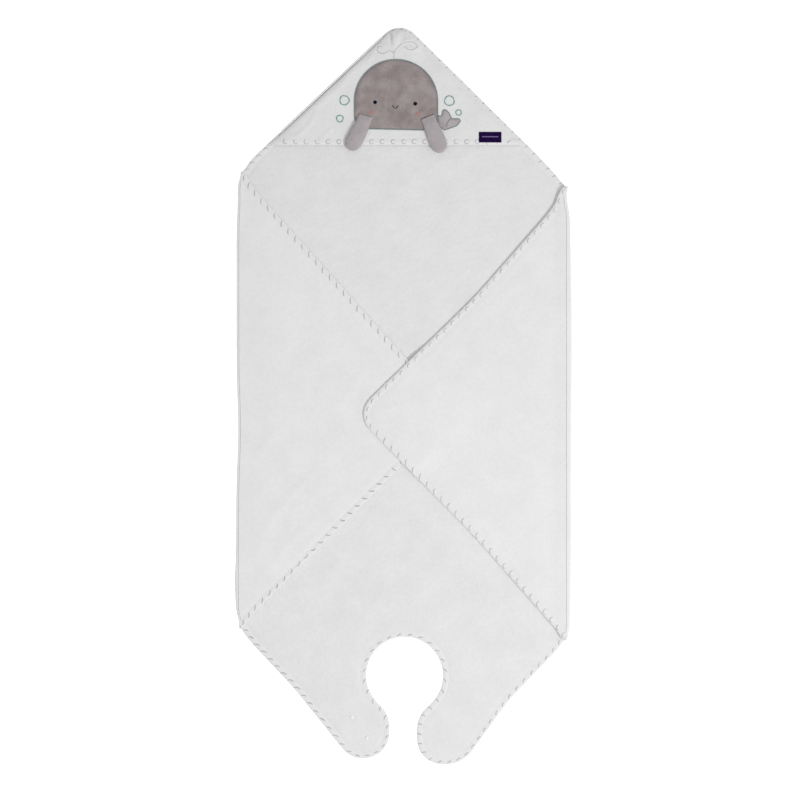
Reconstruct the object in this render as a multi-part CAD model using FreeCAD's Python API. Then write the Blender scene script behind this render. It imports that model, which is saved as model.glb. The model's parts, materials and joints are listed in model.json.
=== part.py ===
import FreeCAD, Part
import math
import os

# Hooded baby towel of the apron kind, lying face up with both side corners
# folded in. Millimetres. +Y runs towards the hood, +X to the right and +Z up
# from the surface that the towel lies on. The origin is the middle of the
# towel's box, at that surface.
#
# The cloth is two layers of terry in one square, hood at its top corner. The
# bottom corner has a round neck cut-out between two lobed tabs, and a folded
# tape binds every edge. The square is drawn flat, cut into the pieces that
# move apart, and the side corners are then turned over about their folds.

Vector = FreeCAD.Vector

# --- cloth and tape ---------------------------------------------------------
LAYER = 2.0                      # one layer of terry
CLOTH = 2 * LAYER                # both layers
TAPE_WIDTH = 13.0                # binding tape, seen width
TAPE_EDGE = 1.0                  # tape outside the cloth's cut edge
TAPE_LEG = 0.6                   # tape let into each face of the cloth
GAP = 0.4                        # air between bodies that move apart

# --- the towel as it lies ---------------------------------------------------
HALF_WIDTH = 292.5               # folded towel, from middle to fold
LEFT_FOLD_HEIGHT = CLOTH + GAP / 2
RIGHT_FOLD_HEIGHT = LEFT_FOLD_HEIGHT + (CLOTH + GAP) / 2
LEFT_FOLD_X = LEFT_FOLD_HEIGHT - HALF_WIDTH
RIGHT_FOLD_X = HALF_WIDTH - RIGHT_FOLD_HEIGHT

APEX = (-5.3, 660.2)             # hood corner before rounding
LEFT_TOP = (-HALF_WIDTH, 390.0)
RIGHT_TOP = (HALF_WIDTH, 362.0)
LEFT_BOTTOM = (-HALF_WIDTH, -404.0)
RIGHT_BOTTOM = (HALF_WIDTH, -422.5)
RIGHT_HIP = (231.6, 426.6)       # slight bend of the edge between the hood and the right fold
HIP_RADIUS = 500.0
LEFT_TIP = (92.0, -28.7)         # folded corners before rounding
RIGHT_TIP = (-85.9, -31.6)
APEX_RADIUS = 36.0
TIP_RADIUS = 38.0
RIGHT_SHOULDER = (272.0, 340.0)  # bends of the right flap's edges, as it lies folded
RIGHT_UPPER_BEND = (124.0, 172.0)
RIGHT_LOWER_BEND = (125.0, -246.5)
SHOULDER_RADIUS = 25.0
UPPER_BEND_RADIUS = 900.0
LOWER_BEND_RADIUS = 1500.0
HIDDEN_TIP_X = -78.0             # the left flap beyond this lies under the right

# --- neck cut-out and tabs --------------------------------------------------
NECK_X = 3.0
NECK_Y = -489.0
NECK_RADIUS = 67.0
THROAT_LEFT = -22.8              # inner edges of the two tabs
THROAT_RIGHT = 24.0
LOBE_LEFT_Y = -635.5             # ends of the two tabs
LOBE_RIGHT_Y = -646.0
THROAT_RADIUS = 50.0
THROAT_LEFT_Y = -556.0           # where each throat turns into the neck's circle
THROAT_RIGHT_Y = -559.0
SHOULDER_LEFT_Y = -520.5
SHOULDER_RIGHT_Y = -523.5
LOBE_LEFT_X = -91.9              # outer corners of the two tabs
LOBE_RIGHT_X = 104.8
LOBE_INNER_RADIUS = 45.0
LOBE_LEFT_RADIUS = 40.0
LOBE_RIGHT_RADIUS = 55.0
LEFT_EDGE_BEND = (-190.0, -513.0)
RIGHT_EDGE_BEND = (184.0, -535.0)
EDGE_BEND_RADIUS = 300.0
ROOT_TURN = (0.857, 0.515)       # direction of a tab's root line, x mirrored at left
LEFT_ROOT = (NECK_X - NECK_RADIUS, NECK_Y)
RIGHT_ROOT = (NECK_X + NECK_RADIUS, NECK_Y)

# --- press studs ------------------------------------------------------------
STUD_PLACES = [(-89.8, -562.9), (-63.5, -599.2)]
SOCKET_PLACES = [(93.0, -567.0), (67.0, -604.0)]
DISC_RADIUS = 5.5
CAP_RADIUS = 5.0
KNOB_RADIUS = 2.6
KNOB_HEIGHT = 2.0
SHANK_RADIUS = 1.2
SOCKET_BORE_RADIUS = KNOB_RADIUS + 0.05
DISC_THICKNESS = 0.8
SOCKET_THICKNESS = 1.8

# --- hood -------------------------------------------------------------------
HEM_Y = 438.0                    # open edge of the hood
CREASE_Y = 592.0                 # the hood lifts about this line
HOOD_CLOTH = 3.0
HOOD_INSET = TAPE_WIDTH + 0.5    # hood edge inside the towel's edge
HOOD_LOW = CLOTH + GAP           # underside at the side seams
HOOD_LOFT = 4.2                  # rise from the seams to the flat middle
LOFT_RUN = 30.0
FACE_CLOTH = 2.0                 # plush of the whale's face
FACE_TOP = HOOD_CLOTH + FACE_CLOTH
THREAD = 0.6                     # height of embroidery
FACE_LEFT = -85.0
FACE_RIGHT = 60.6
FACE_TOP_Y = 588.2
FACE_LEFT_LOW_Y = 468.0
FACE_RIGHT_LOW_Y = 464.6
FACE_DOME_RADIUS = 72.0
FACE_CORNER_RADIUS = 22.0
OUTLINE_WIDTH = 2.3
EYES = [(-48.9, 513.6), (21.4, 511.0)]
EYE_RADIUS = 3.2
CHEEKS = [(-53.8, 495.8), (25.0, 492.6)]
CHEEK_RADIUS = 4.2
MOUTH = [(-18.2, 508.2), (-13.5, 503.2), (-8.2, 508.0)]
STROKE = 1.4
BUBBLES = [(-102.4, 517.3, 9.3), (-110.4, 485.2, 7.0), (81.1, 516.4, 9.6), (97.3, 495.8, 6.0)]
BUBBLE_STROKE = 2.0
SPOUT_STEM = [(-16.0, 593.0), (-16.0, 599.0)]
SPOUT_LEFT_CURL = [(-16.0, 599.0), (-23.0, 603.5), (-31.0, 599.5), (-39.0, 599.0), (-45.0, 605.0),
                   (-41.0, 610.5)]
SPOUT_RIGHT_CURL = [(-16.0, 599.0), (-10.5, 608.0), (-2.0, 615.0), (9.0, 618.0), (20.0, 615.0),
                    (21.0, 607.5), (11.0, 606.0)]
CURL_STEPS = 14                  # straight runs that draw one curl
LABEL_CORNER = (132.6, 443.4)
LABEL_SIZE = (39.6, 18.6)
LABEL_THICKNESS = 0.5

# --- flippers ---------------------------------------------------------------
FLIPPER_LENGTH = 67.0
FLIPPER_ROOT_HALF = 12.3
FLIPPER_END_HALF = 14.7
FLIPPER_END_FLAT = 0.8           # half the straight run across its rounded end
FLIPPER_END_THICKNESS = 4.5
FLIPPER_THICKNESS = 7.0
FLIPPER_ROOT_THICKNESS = 1.0
FLIPPER_TAPER = 16.0             # length over which it reaches full thickness
FLIPPER_SHELL = 0.8
FLIPPER_HEIGHT = HOOD_LOW + HOOD_LOFT + FACE_TOP + 1.0
LEFT_FLIPPER = ((-64.4, 490.0), (-0.407, -0.914))      # seam middle, direction
RIGHT_FLIPPER = ((43.0, 487.8), (0.371, -0.929))

FAR = 1500.0                     # larger than the towel


# --- drawing helpers --------------------------------------------------------
def unit(x, y):
    length = math.hypot(x, y)
    return x / length, y / length


def corner_arc(before, corner, after):
    """The start, middle and end of the arc that rounds one corner."""
    x, y, radius = corner
    ax, ay = unit(before[0] - x, before[1] - y)
    bx, by = unit(after[0] - x, after[1] - y)
    half_angle = math.acos(ax * bx + ay * by) / 2
    reach = radius / math.tan(half_angle)
    mx, my = unit(ax + bx, ay + by)
    middle = radius / math.sin(half_angle) - radius
    return (
        Vector(x + ax * reach, y + ay * reach, 0),
        Vector(x + mx * middle, y + my * middle, 0),
        Vector(x + bx * reach, y + by * reach, 0),
    )


def outline(corners):
    """A flat face inside straight lines whose corners (x, y, radius) are rounded."""
    edges = []
    starts = []
    ends = []
    for number, corner in enumerate(corners):
        before = corners[number - 1]
        after = corners[(number + 1) % len(corners)]
        if corner[2] == 0:
            point = Vector(corner[0], corner[1], 0)
            starts.append(point)
            ends.append(point)
            edges.append(None)
        else:
            start, middle, end = corner_arc(before, corner, after)
            starts.append(start)
            ends.append(end)
            edges.append(Part.Arc(start, middle, end).toShape())
    path = []
    for number, arc in enumerate(edges):
        if arc is not None:
            path.append(arc)
        following = starts[(number + 1) % len(corners)]
        if (following - ends[number]).Length > 1e-4:
            path.append(Part.LineSegment(ends[number], following).toShape())
    return Part.Face(Part.Wire(path))


def shrink(face, distance):
    """The face with its edge moved inwards."""
    return face.makeOffset2D(-distance, 0)


def slab(face, low, high):
    """A flat sheet of the face's shape between two heights."""
    lifted = face.copy()
    lifted.translate(Vector(0, 0, low))
    return lifted.extrude(Vector(0, 0, high - low))


def disc(x, y, radius):
    return Part.Face(Part.Wire(Part.makeCircle(radius, Vector(x, y, 0))))


def ring(x, y, radius, width):
    return disc(x, y, radius).cut(disc(x, y, radius - width))


def rod(x, y, radius, low, high):
    return Part.makeCylinder(radius, high - low, Vector(x, y, low))


def block(x_low, x_high, y_low, y_high):
    """A tall block that cuts pieces out of the flat towel."""
    return Part.makeBox(x_high - x_low, y_high - y_low, 2 * FAR, Vector(x_low, y_low, -FAR))


def beyond(point, away):
    """Everything on one side of an upright plane, in the direction away."""
    turned = math.degrees(math.atan2(away[1], away[0]))
    half = Part.makeBox(FAR, 2 * FAR, 2 * FAR, Vector(0, -FAR, -FAR))
    half.rotate(Vector(0, 0, 0), Vector(0, 0, 1), turned)
    half.translate(Vector(point[0], point[1], 0))
    return half


def tall(face):
    """The face drawn up into a tall block, to cut its shape out of the hood's roof."""
    return slab(face, 0, FAR)


def band(points, width):
    """A tall block over a stroke of thread along straight runs, round at its ends."""
    stroke = tall(disc(points[0][0], points[0][1], width / 2))
    for (ax, ay), (bx, by) in zip(points, points[1:]):
        dx, dy = unit(bx - ax, by - ay)
        ox = -dy * width / 2
        oy = dx * width / 2
        run = outline([(ax + ox, ay + oy, 0), (bx + ox, by + oy, 0),
                       (bx - ox, by - oy, 0), (ax - ox, ay - oy, 0)])
        stroke = stroke.fuse(tall(run)).fuse(tall(disc(bx, by, width / 2)))
    return stroke.removeSplitter()


def save(name, shape):
    """Write one node, as its solids only."""
    solids = shape.Solids
    if len(solids) == 1:
        solids[0].exportStep("parts/" + name + ".step")
    else:
        Part.makeCompound(solids).exportStep("parts/" + name + ".step")


# --- the flat towel ---------------------------------------------------------
def opened(tip, fold_x):
    """Where a folded corner lies when it is turned back about its fold."""
    return 2 * fold_x - tip[0], tip[1]


def towel_outline():
    """The whole towel, flat and unfolded, clockwise from the hood's corner."""
    right_corner = opened(RIGHT_TIP, RIGHT_FOLD_X)
    left_corner = opened(LEFT_TIP, LEFT_FOLD_X)
    neck_left = NECK_X - NECK_RADIUS
    neck_right = NECK_X + NECK_RADIUS
    neck_top = NECK_Y + NECK_RADIUS
    return outline([
        APEX + (APEX_RADIUS,),
        RIGHT_HIP + (HIP_RADIUS,),
        RIGHT_TOP + (0,),
        opened(RIGHT_SHOULDER, RIGHT_FOLD_X) + (SHOULDER_RADIUS,),
        opened(RIGHT_UPPER_BEND, RIGHT_FOLD_X) + (UPPER_BEND_RADIUS,),
        right_corner + (TIP_RADIUS,),
        opened(RIGHT_LOWER_BEND, RIGHT_FOLD_X) + (LOWER_BEND_RADIUS,),
        RIGHT_BOTTOM + (0,),
        RIGHT_EDGE_BEND + (EDGE_BEND_RADIUS,),
        (LOBE_RIGHT_X, LOBE_RIGHT_Y, LOBE_RIGHT_RADIUS),
        (THROAT_RIGHT, LOBE_RIGHT_Y, LOBE_INNER_RADIUS),
        (THROAT_RIGHT, THROAT_RIGHT_Y, THROAT_RADIUS),
        (neck_right, SHOULDER_RIGHT_Y, NECK_RADIUS),
        (neck_right, neck_top, NECK_RADIUS),
        (neck_left, neck_top, NECK_RADIUS),
        (neck_left, SHOULDER_LEFT_Y, NECK_RADIUS),
        (THROAT_LEFT, THROAT_LEFT_Y, THROAT_RADIUS),
        (THROAT_LEFT, LOBE_LEFT_Y, LOBE_INNER_RADIUS),
        (LOBE_LEFT_X, LOBE_LEFT_Y, LOBE_LEFT_RADIUS),
        LEFT_EDGE_BEND + (EDGE_BEND_RADIUS,),
        LEFT_BOTTOM + (0,),
        left_corner + (TIP_RADIUS,),
        LEFT_TOP + (0,),
    ])


def towel_sheets(whole):
    """The outer layer (below), the inner layer (above) and the edge tape."""
    cut_edge = shrink(whole, TAPE_EDGE)
    clear_of_tape = shrink(whole, TAPE_WIDTH)
    outer = slab(clear_of_tape, 0, LAYER).fuse(slab(cut_edge, TAPE_LEG, LAYER))
    inner = slab(clear_of_tape, LAYER, CLOTH).fuse(slab(cut_edge, LAYER, CLOTH - TAPE_LEG))
    tape = slab(whole, 0, CLOTH).cut(outer).cut(inner)
    return {"outer_layer": outer.removeSplitter(), "inner_layer": inner.removeSplitter(),
            "binding": tape}


def tab_region(side, gap):
    """The part of the towel beyond one tab's root line."""
    root = LEFT_ROOT if side < 0 else RIGHT_ROOT
    away = (-side * ROOT_TURN[1], -ROOT_TURN[0])
    start = (root[0] + away[0] * gap, root[1] + away[1] * gap)
    own_side = block(-FAR, 0, -FAR, FAR) if side < 0 else block(0, FAR, -FAR, FAR)
    return beyond(start, away).common(own_side)


def regions():
    """Blocks that hold each piece of the flat towel that moves by itself."""
    hidden_x = opened((HIDDEN_TIP_X, 0), LEFT_FOLD_X)[0]
    tabs = tab_region(-1, 0).fuse(tab_region(1, 0))
    return {
        "back": block(LEFT_FOLD_X, RIGHT_FOLD_X, -FAR, FAR).cut(tabs),
        "left_tab": tab_region(-1, GAP),
        "right_tab": tab_region(1, GAP),
        "left_flap": block(hidden_x, LEFT_FOLD_X - GAP, -FAR, FAR),
        "left_flap_tip": block(-FAR, hidden_x, -FAR, FAR),
        "right_flap": block(RIGHT_FOLD_X + GAP, FAR, -FAR, FAR),
    }


def fold_over(shape, fold_x, height):
    """Turn a flat piece half a turn about a fold that runs along Y."""
    turned = shape.copy()
    turned.rotate(Vector(fold_x, 0, height), Vector(0, 1, 0), 180)
    return turned


# --- the folds --------------------------------------------------------------
def height_on_edge(start, end, x):
    return start[1] + (end[1] - start[1]) * (x - start[0]) / (end[0] - start[0])


def half_tube(fold_x, height, y_low, y_high, inner, outer):
    """Half a tube round a fold's axis, on the side away from the towel's middle."""
    length = y_high - y_low
    tube = Part.makeCylinder(outer, length, Vector(fold_x, y_low, height), Vector(0, 1, 0))
    if inner > 0:
        bore = Part.makeCylinder(inner, length, Vector(fold_x, y_low, height), Vector(0, 1, 0))
        tube = tube.cut(bore)
    if fold_x < 0:
        return tube.common(block(-FAR, fold_x, -FAR, FAR))
    return tube.common(block(fold_x, FAR, -FAR, FAR))


def fold_sheets(fold_x, height, y_low, y_high):
    """The two layers and the tape where they roll round one fold."""
    outside = height
    inside = height - CLOTH
    middle = height - LAYER

    def tube(margin, inner, outer):
        return half_tube(fold_x, height, y_low + margin, y_high - margin, inner, outer)

    outer = tube(TAPE_WIDTH, middle, outside).fuse(tube(TAPE_EDGE, middle, outside - TAPE_LEG))
    inner = tube(TAPE_WIDTH, inside, middle).fuse(tube(TAPE_EDGE, inside + TAPE_LEG, middle))
    tape = tube(0, inside, outside).cut(outer).cut(inner)
    return {"outer_layer": outer.removeSplitter(), "inner_layer": inner.removeSplitter(),
            "binding": tape}


# --- press studs ------------------------------------------------------------
def stud_parts():
    """Two studs on the left tab's upper face, and their caps between the layers."""
    studs = []
    caps = []
    cap_low = LAYER - DISC_THICKNESS / 2
    cap_high = LAYER + DISC_THICKNESS / 2
    for x, y in STUD_PLACES:
        disc_top = CLOTH + DISC_THICKNESS
        stud = rod(x, y, DISC_RADIUS, CLOTH, disc_top)
        stud = stud.fuse(rod(x, y, KNOB_RADIUS, disc_top, disc_top + KNOB_HEIGHT))
        stud = stud.fuse(rod(x, y, SHANK_RADIUS, cap_high, CLOTH))
        studs.append(stud)
        caps.append(rod(x, y, CAP_RADIUS, cap_low, cap_high))
    return Part.makeCompound(studs), Part.makeCompound(caps)


def socket_parts():
    """Two sockets in the right tab's underside, and their caps between the layers."""
    sockets = []
    caps = []
    cap_low = SOCKET_THICKNESS + GAP
    for x, y in SOCKET_PLACES:
        socket = rod(x, y, DISC_RADIUS, 0, SOCKET_THICKNESS)
        socket = socket.cut(rod(x, y, SOCKET_BORE_RADIUS, 0, SOCKET_THICKNESS - GAP))
        socket = socket.fuse(rod(x, y, SHANK_RADIUS, SOCKET_THICKNESS, cap_low))
        sockets.append(socket)
        caps.append(rod(x, y, CAP_RADIUS, cap_low, cap_low + DISC_THICKNESS))
    return Part.makeCompound(sockets), Part.makeCompound(caps)


def socket_recess():
    """The holes that the sockets, shanks and caps need in the right tab's cloth."""
    sockets, caps = socket_parts()
    filled = [rod(x, y, DISC_RADIUS, 0, SOCKET_THICKNESS) for x, y in SOCKET_PLACES]
    return Part.makeCompound(filled + sockets.Solids + caps.Solids)


# --- hood -------------------------------------------------------------------
def under_roof(lift):
    """Everything below the hood's underside raised by lift.

    The underside rises from both side seams over LOFT_RUN and is flat between."""
    low = HOOD_LOW + lift
    high = low + HOOD_LOFT
    sides = []
    for corner, turn in ((LEFT_TOP, -1), (RIGHT_TOP, 1)):
        along = unit(APEX[0] - corner[0], APEX[1] - corner[1])
        inward = (turn * -along[1], turn * along[0])
        start = Vector(corner[0] + inward[0] * HOOD_INSET - along[0] * FAR,
                       corner[1] + inward[1] * HOOD_INSET - along[1] * FAR, 0)
        profile = []
        for reach, height in ((0, -1.0), (0, low), (LOFT_RUN, high), (FAR, high), (FAR, -1.0)):
            profile.append(Vector(start.x + inward[0] * reach, start.y + inward[1] * reach, height))
        face = Part.Face(Part.makePolygon(profile + profile[:1]))
        sides.append(face.extrude(Vector(along[0] * 3 * FAR, along[1] * 3 * FAR, 0)))
    return sides[0].common(sides[1])


def on_hood(shape, low_lift, high_lift):
    """A sheet of a tall block's shape that follows the hood's roof shape."""
    roof = under_roof(high_lift).cut(under_roof(low_lift))
    return shape.common(roof)


def hood_cloth(whole):
    """The hood's panel, its hem tape, and the tip that stays sewn down."""
    inside = shrink(whole, HOOD_INSET)
    hem_top = HEM_Y + TAPE_WIDTH
    moving = tall(inside).common(block(-FAR, FAR, HEM_Y, CREASE_Y))
    tip = tall(inside).common(block(-FAR, FAR, CREASE_Y + GAP, FAR))
    full = under_roof(HOOD_CLOTH).cut(under_roof(0))
    thin = under_roof(HOOD_CLOTH - TAPE_LEG).cut(under_roof(TAPE_LEG))
    panel = moving.common(full).common(block(-FAR, FAR, hem_top, FAR))
    edge = moving.common(thin).common(block(-FAR, FAR, HEM_Y + TAPE_EDGE, hem_top))
    panel = panel.fuse(edge)
    tape = moving.common(full).common(block(-FAR, FAR, HEM_Y, hem_top)).cut(panel)
    return panel.removeSplitter(), tape, tip.common(full)


def face_outline():
    return outline([(FACE_LEFT, FACE_TOP_Y, FACE_DOME_RADIUS), (FACE_RIGHT, FACE_TOP_Y, FACE_DOME_RADIUS),
                    (FACE_RIGHT, FACE_RIGHT_LOW_Y, FACE_CORNER_RADIUS),
                    (FACE_LEFT, FACE_LEFT_LOW_Y, FACE_CORNER_RADIUS)])


def tail_outline():
    """The whale's fluke beside its body: a short stalk and two leaves."""
    return outline([(61.6, 492.0, 0), (67.5, 484.0, 3.0), (69.5, 506.0, 4.5), (80.0, 496.0, 7.0),
                    (85.0, 485.0, 1.5), (104.0, 485.0, 3.5), (94.0, 472.5, 9.0), (72.0, 465.0, 2.0),
                    (61.6, 473.0, 0)])


def spout_stroke():
    """A tall block over a stem of thread that curls over to both sides."""
    shape = band(SPOUT_STEM, STROKE)
    for points in (SPOUT_LEFT_CURL, SPOUT_RIGHT_CURL):
        curve = Part.BSplineCurve()
        curve.interpolate([Vector(x, y, 0) for x, y in points])
        run = [(point.x, point.y) for point in curve.discretize(CURL_STEPS + 1)]
        shape = shape.fuse(band(run, STROKE))
    return shape.removeSplitter()


def label_outline():
    x, y = LABEL_CORNER
    width, height = LABEL_SIZE
    return outline([(x, y, 0), (x, y + height, 0), (x + width, y + height, 0), (x + width, y, 0)])


def hood_trim():
    """The appliqué, the embroidery and the label on the hood's panel."""
    face = face_outline()
    inside = shrink(face, OUTLINE_WIDTH)
    thread_top = FACE_TOP + THREAD
    eyes = [on_hood(tall(disc(x, y, EYE_RADIUS)), FACE_TOP, thread_top) for x, y in EYES]
    cheeks = [on_hood(tall(disc(x, y, CHEEK_RADIUS)), FACE_TOP, FACE_TOP + THREAD / 2)
              for x, y in CHEEKS]
    bubbles = [on_hood(tall(ring(x, y, radius, BUBBLE_STROKE)), HOOD_CLOTH, HOOD_CLOTH + THREAD)
               for x, y, radius in BUBBLES]
    return {
        "whale_face": on_hood(tall(face), HOOD_CLOTH, FACE_TOP),
        "face_outline_stitch": on_hood(tall(face.cut(inside)), FACE_TOP, thread_top),
        "whale_tail": on_hood(tall(tail_outline()), HOOD_CLOTH, HOOD_CLOTH + FACE_CLOTH / 2),
        "eye_stitches": Part.makeCompound(eyes),
        "cheek_stitches": Part.makeCompound(cheeks),
        "mouth_stitch": on_hood(band(MOUTH, STROKE), FACE_TOP, thread_top),
        "bubble_stitches": Part.makeCompound(bubbles),
        "woven_label": on_hood(tall(label_outline()), HOOD_CLOTH, HOOD_CLOTH + LABEL_THICKNESS),
    }


# --- flippers ---------------------------------------------------------------
def flipper_pad(margin):
    """The flipper's pad as if it lay along -Y from the origin, margin inside its skin."""
    root = FLIPPER_ROOT_HALF - margin
    end = FLIPPER_END_HALF - margin
    near = -margin
    tip = margin - FLIPPER_LENGTH
    turn = end - FLIPPER_END_FLAT
    plan = outline([(-root, near, 0), (root, near, 0), (end, tip, turn), (-end, tip, turn)])
    top = FLIPPER_THICKNESS - margin
    side = Part.Face(Part.makePolygon([
        Vector(-FAR, near, margin), Vector(-FAR, near, FLIPPER_ROOT_THICKNESS),
        Vector(-FAR, -FLIPPER_TAPER, top), Vector(-FAR, tip + FLIPPER_TAPER / 2, top),
        Vector(-FAR, tip, FLIPPER_END_THICKNESS), Vector(-FAR, tip, margin),
        Vector(-FAR, near, margin),
    ]))
    return slab(plan, -1, FAR).common(side.extrude(Vector(2 * FAR, 0, 0)))


def flipper_parts(place):
    """The plush front, the backing and the wadding of one flipper, in place."""
    (x, y), (away_x, away_y) = place
    wadding = flipper_pad(FLIPPER_SHELL)
    skin = flipper_pad(0).cut(wadding)
    seam_height = FLIPPER_SHELL
    front = skin.common(Part.makeBox(FAR, FAR, FAR, Vector(-FAR / 2, -FAR / 2, seam_height)))
    backing = skin.common(Part.makeBox(FAR, FAR, FAR, Vector(-FAR / 2, -FAR / 2, seam_height - FAR)))
    turned = math.degrees(math.atan2(away_y, away_x)) + 90
    parts = {"front": front, "backing": backing, "wadding": wadding}
    for shape in parts.values():
        shape.rotate(Vector(0, 0, 0), Vector(0, 0, 1), turned)
        shape.translate(Vector(x, y, FLIPPER_HEIGHT))
    return parts


# --- assembly ---------------------------------------------------------------
def save_root_bindings(tape):
    """The edge tape that stays with the back, as its four separate runs."""
    for run in tape.Solids:
        middle = run.BoundBox.Center
        if middle.y > 0:
            save("top_edge_binding", run)
        elif abs(middle.x - NECK_X) < NECK_RADIUS / 2:
            save("neck_binding", run)
        elif middle.x < 0:
            save("left_lower_binding", run)
        else:
            save("right_lower_binding", run)


def save_towel(whole):
    sheets = towel_sheets(whole)
    studs, stud_caps = stud_parts()
    sockets, socket_caps = socket_parts()
    recess = {"left_tab": Part.makeCompound(studs.Solids + stud_caps.Solids),
              "right_tab": socket_recess()}
    turned = {"left_flap": (LEFT_FOLD_X, LEFT_FOLD_HEIGHT),
              "left_flap_tip": (LEFT_FOLD_X, LEFT_FOLD_HEIGHT),
              "right_flap": (RIGHT_FOLD_X, RIGHT_FOLD_HEIGHT)}
    for name, region in regions().items():
        for sheet_name, sheet in sheets.items():
            piece = sheet.common(region)
            if name in recess and sheet_name != "binding":
                piece = piece.cut(recess[name])
            if name in turned:
                piece = fold_over(piece, *turned[name])
            if name == "back" and sheet_name == "binding":
                save_root_bindings(piece)
            else:
                save(name + "_" + sheet_name, piece)
    save("snap_studs", studs)
    save("stud_caps", stud_caps)
    save("snap_sockets", sockets)
    save("socket_caps", socket_caps)


def save_folds():
    """The rolls of cloth round the two side folds."""
    for side, fold_x, height, top_edge, bottom_edge in (
            ("left", LEFT_FOLD_X, LEFT_FOLD_HEIGHT, (LEFT_TOP, APEX), (LEFT_BOTTOM, LEFT_EDGE_BEND)),
            ("right", RIGHT_FOLD_X, RIGHT_FOLD_HEIGHT, (RIGHT_TOP, RIGHT_HIP),
             (RIGHT_BOTTOM, RIGHT_EDGE_BEND))):
        y_high = height_on_edge(*top_edge, fold_x)
        y_low = height_on_edge(*bottom_edge, fold_x)
        for sheet_name, sheet in fold_sheets(fold_x, height, y_low, y_high).items():
            save(side + "_fold_" + sheet_name, sheet)


def save_hood(whole):
    panel, tape, tip = hood_cloth(whole)
    save("hood_panel", panel)
    save("hood_hem_binding", tape)
    save("hood_tip", tip)
    save("spout_stitches", on_hood(spout_stroke(), HOOD_CLOTH, HOOD_CLOTH + THREAD))
    for name, shape in hood_trim().items():
        save(name, shape)


def save_flippers():
    for side, place in (("left", LEFT_FLIPPER), ("right", RIGHT_FLIPPER)):
        for part_name, shape in flipper_parts(place).items():
            save(side + "_flipper_" + part_name, shape)


os.makedirs("parts", exist_ok=True)
towel = towel_outline()
save_towel(towel)
save_folds()
save_hood(towel)
save_flippers()
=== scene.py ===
import json
import math

import bmesh
import bpy
import numpy as np
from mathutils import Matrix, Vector, noise
from mathutils.geometry import delaunay_2d_cdt

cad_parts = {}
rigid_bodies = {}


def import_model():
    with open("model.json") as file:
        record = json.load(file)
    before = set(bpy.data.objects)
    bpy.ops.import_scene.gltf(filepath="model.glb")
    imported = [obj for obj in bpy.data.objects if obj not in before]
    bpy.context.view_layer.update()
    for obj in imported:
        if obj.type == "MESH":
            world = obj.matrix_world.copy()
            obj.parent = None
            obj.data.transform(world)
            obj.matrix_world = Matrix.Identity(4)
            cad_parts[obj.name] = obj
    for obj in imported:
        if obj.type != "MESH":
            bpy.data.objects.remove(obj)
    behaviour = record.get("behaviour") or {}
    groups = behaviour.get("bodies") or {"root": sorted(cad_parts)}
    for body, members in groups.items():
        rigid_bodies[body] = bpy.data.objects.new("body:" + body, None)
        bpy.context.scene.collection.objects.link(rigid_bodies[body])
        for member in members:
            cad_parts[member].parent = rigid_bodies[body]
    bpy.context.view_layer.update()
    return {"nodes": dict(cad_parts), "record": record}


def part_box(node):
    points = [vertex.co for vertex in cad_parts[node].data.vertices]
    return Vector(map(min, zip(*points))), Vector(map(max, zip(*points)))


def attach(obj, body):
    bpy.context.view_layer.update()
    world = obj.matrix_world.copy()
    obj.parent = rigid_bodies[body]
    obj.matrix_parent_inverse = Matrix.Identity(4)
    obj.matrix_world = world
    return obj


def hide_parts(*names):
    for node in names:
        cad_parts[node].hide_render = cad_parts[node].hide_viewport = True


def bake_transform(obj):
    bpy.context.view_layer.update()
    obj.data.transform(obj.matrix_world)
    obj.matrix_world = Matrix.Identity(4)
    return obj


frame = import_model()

# The hooded baby towel's looks. Lengths below are millimetres in the row frame
# until a mesh is made, which turns them into metres. The towel lies face up:
# "inner" is the face towards the baby, "outer" the other, and n is the height
# through the cloth, from 0 at the outer face to CLOTH at the inner one.

MM = 0.001
CLOTH = 4.0
CELL = 6.0                 # mesh size of the large sheets
FINE = 2.6                 # mesh size of the plush
TAPE = 10.0                # seen width of the edge tape
TAPE_STEP = 3.0
TAPE_EDGE = 1.0            # tape outside the cloth's cut edge
MARK_PITCH = 18.0          # crescents printed on the tape
ROLL_STEPS = 12            # facets round each side fold

joints = {joint["name"]: joint for joint in frame["record"]["behaviour"]["joints"]}


def joint_place(name):
    """A joint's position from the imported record, in millimetres."""
    return np.array(joints[name]["pos_m"]) / MM


def joint_axis(name):
    axis = np.array(joints[name]["axis"], float)
    return axis / np.linalg.norm(axis)


def cad_low(node):
    return np.array(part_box(node)[0]) / MM


def cad_high(node):
    return np.array(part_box(node)[1]) / MM


def cad_middle(node):
    return (cad_low(node) + cad_high(node)) / 2


# --- outlines, read from the CAD nodes --------------------------------------
def rim(node):
    """The outline of a node seen from above, anticlockwise, from its upward faces."""
    mesh = frame["nodes"][node].data
    places = [(round(vertex.co.x, 5), round(vertex.co.y, 5)) for vertex in mesh.vertices]
    directed = set()
    for face in mesh.polygons:
        if face.normal.z > 0.3:
            corners = [places[i] for i in face.vertices]
            directed.update(zip(corners, corners[1:] + corners[:1]))
    following = {a: b for a, b in directed if (b, a) not in directed}
    start = max(following)
    loop = [start]
    while following[loop[-1]] != start:
        loop.append(following[loop[-1]])
    outline = np.array(loop) / MM
    x, y = outline.T
    area = np.sum(x * np.roll(y, -1) - y * np.roll(x, -1))
    return outline if area > 0 else outline[::-1]


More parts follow.
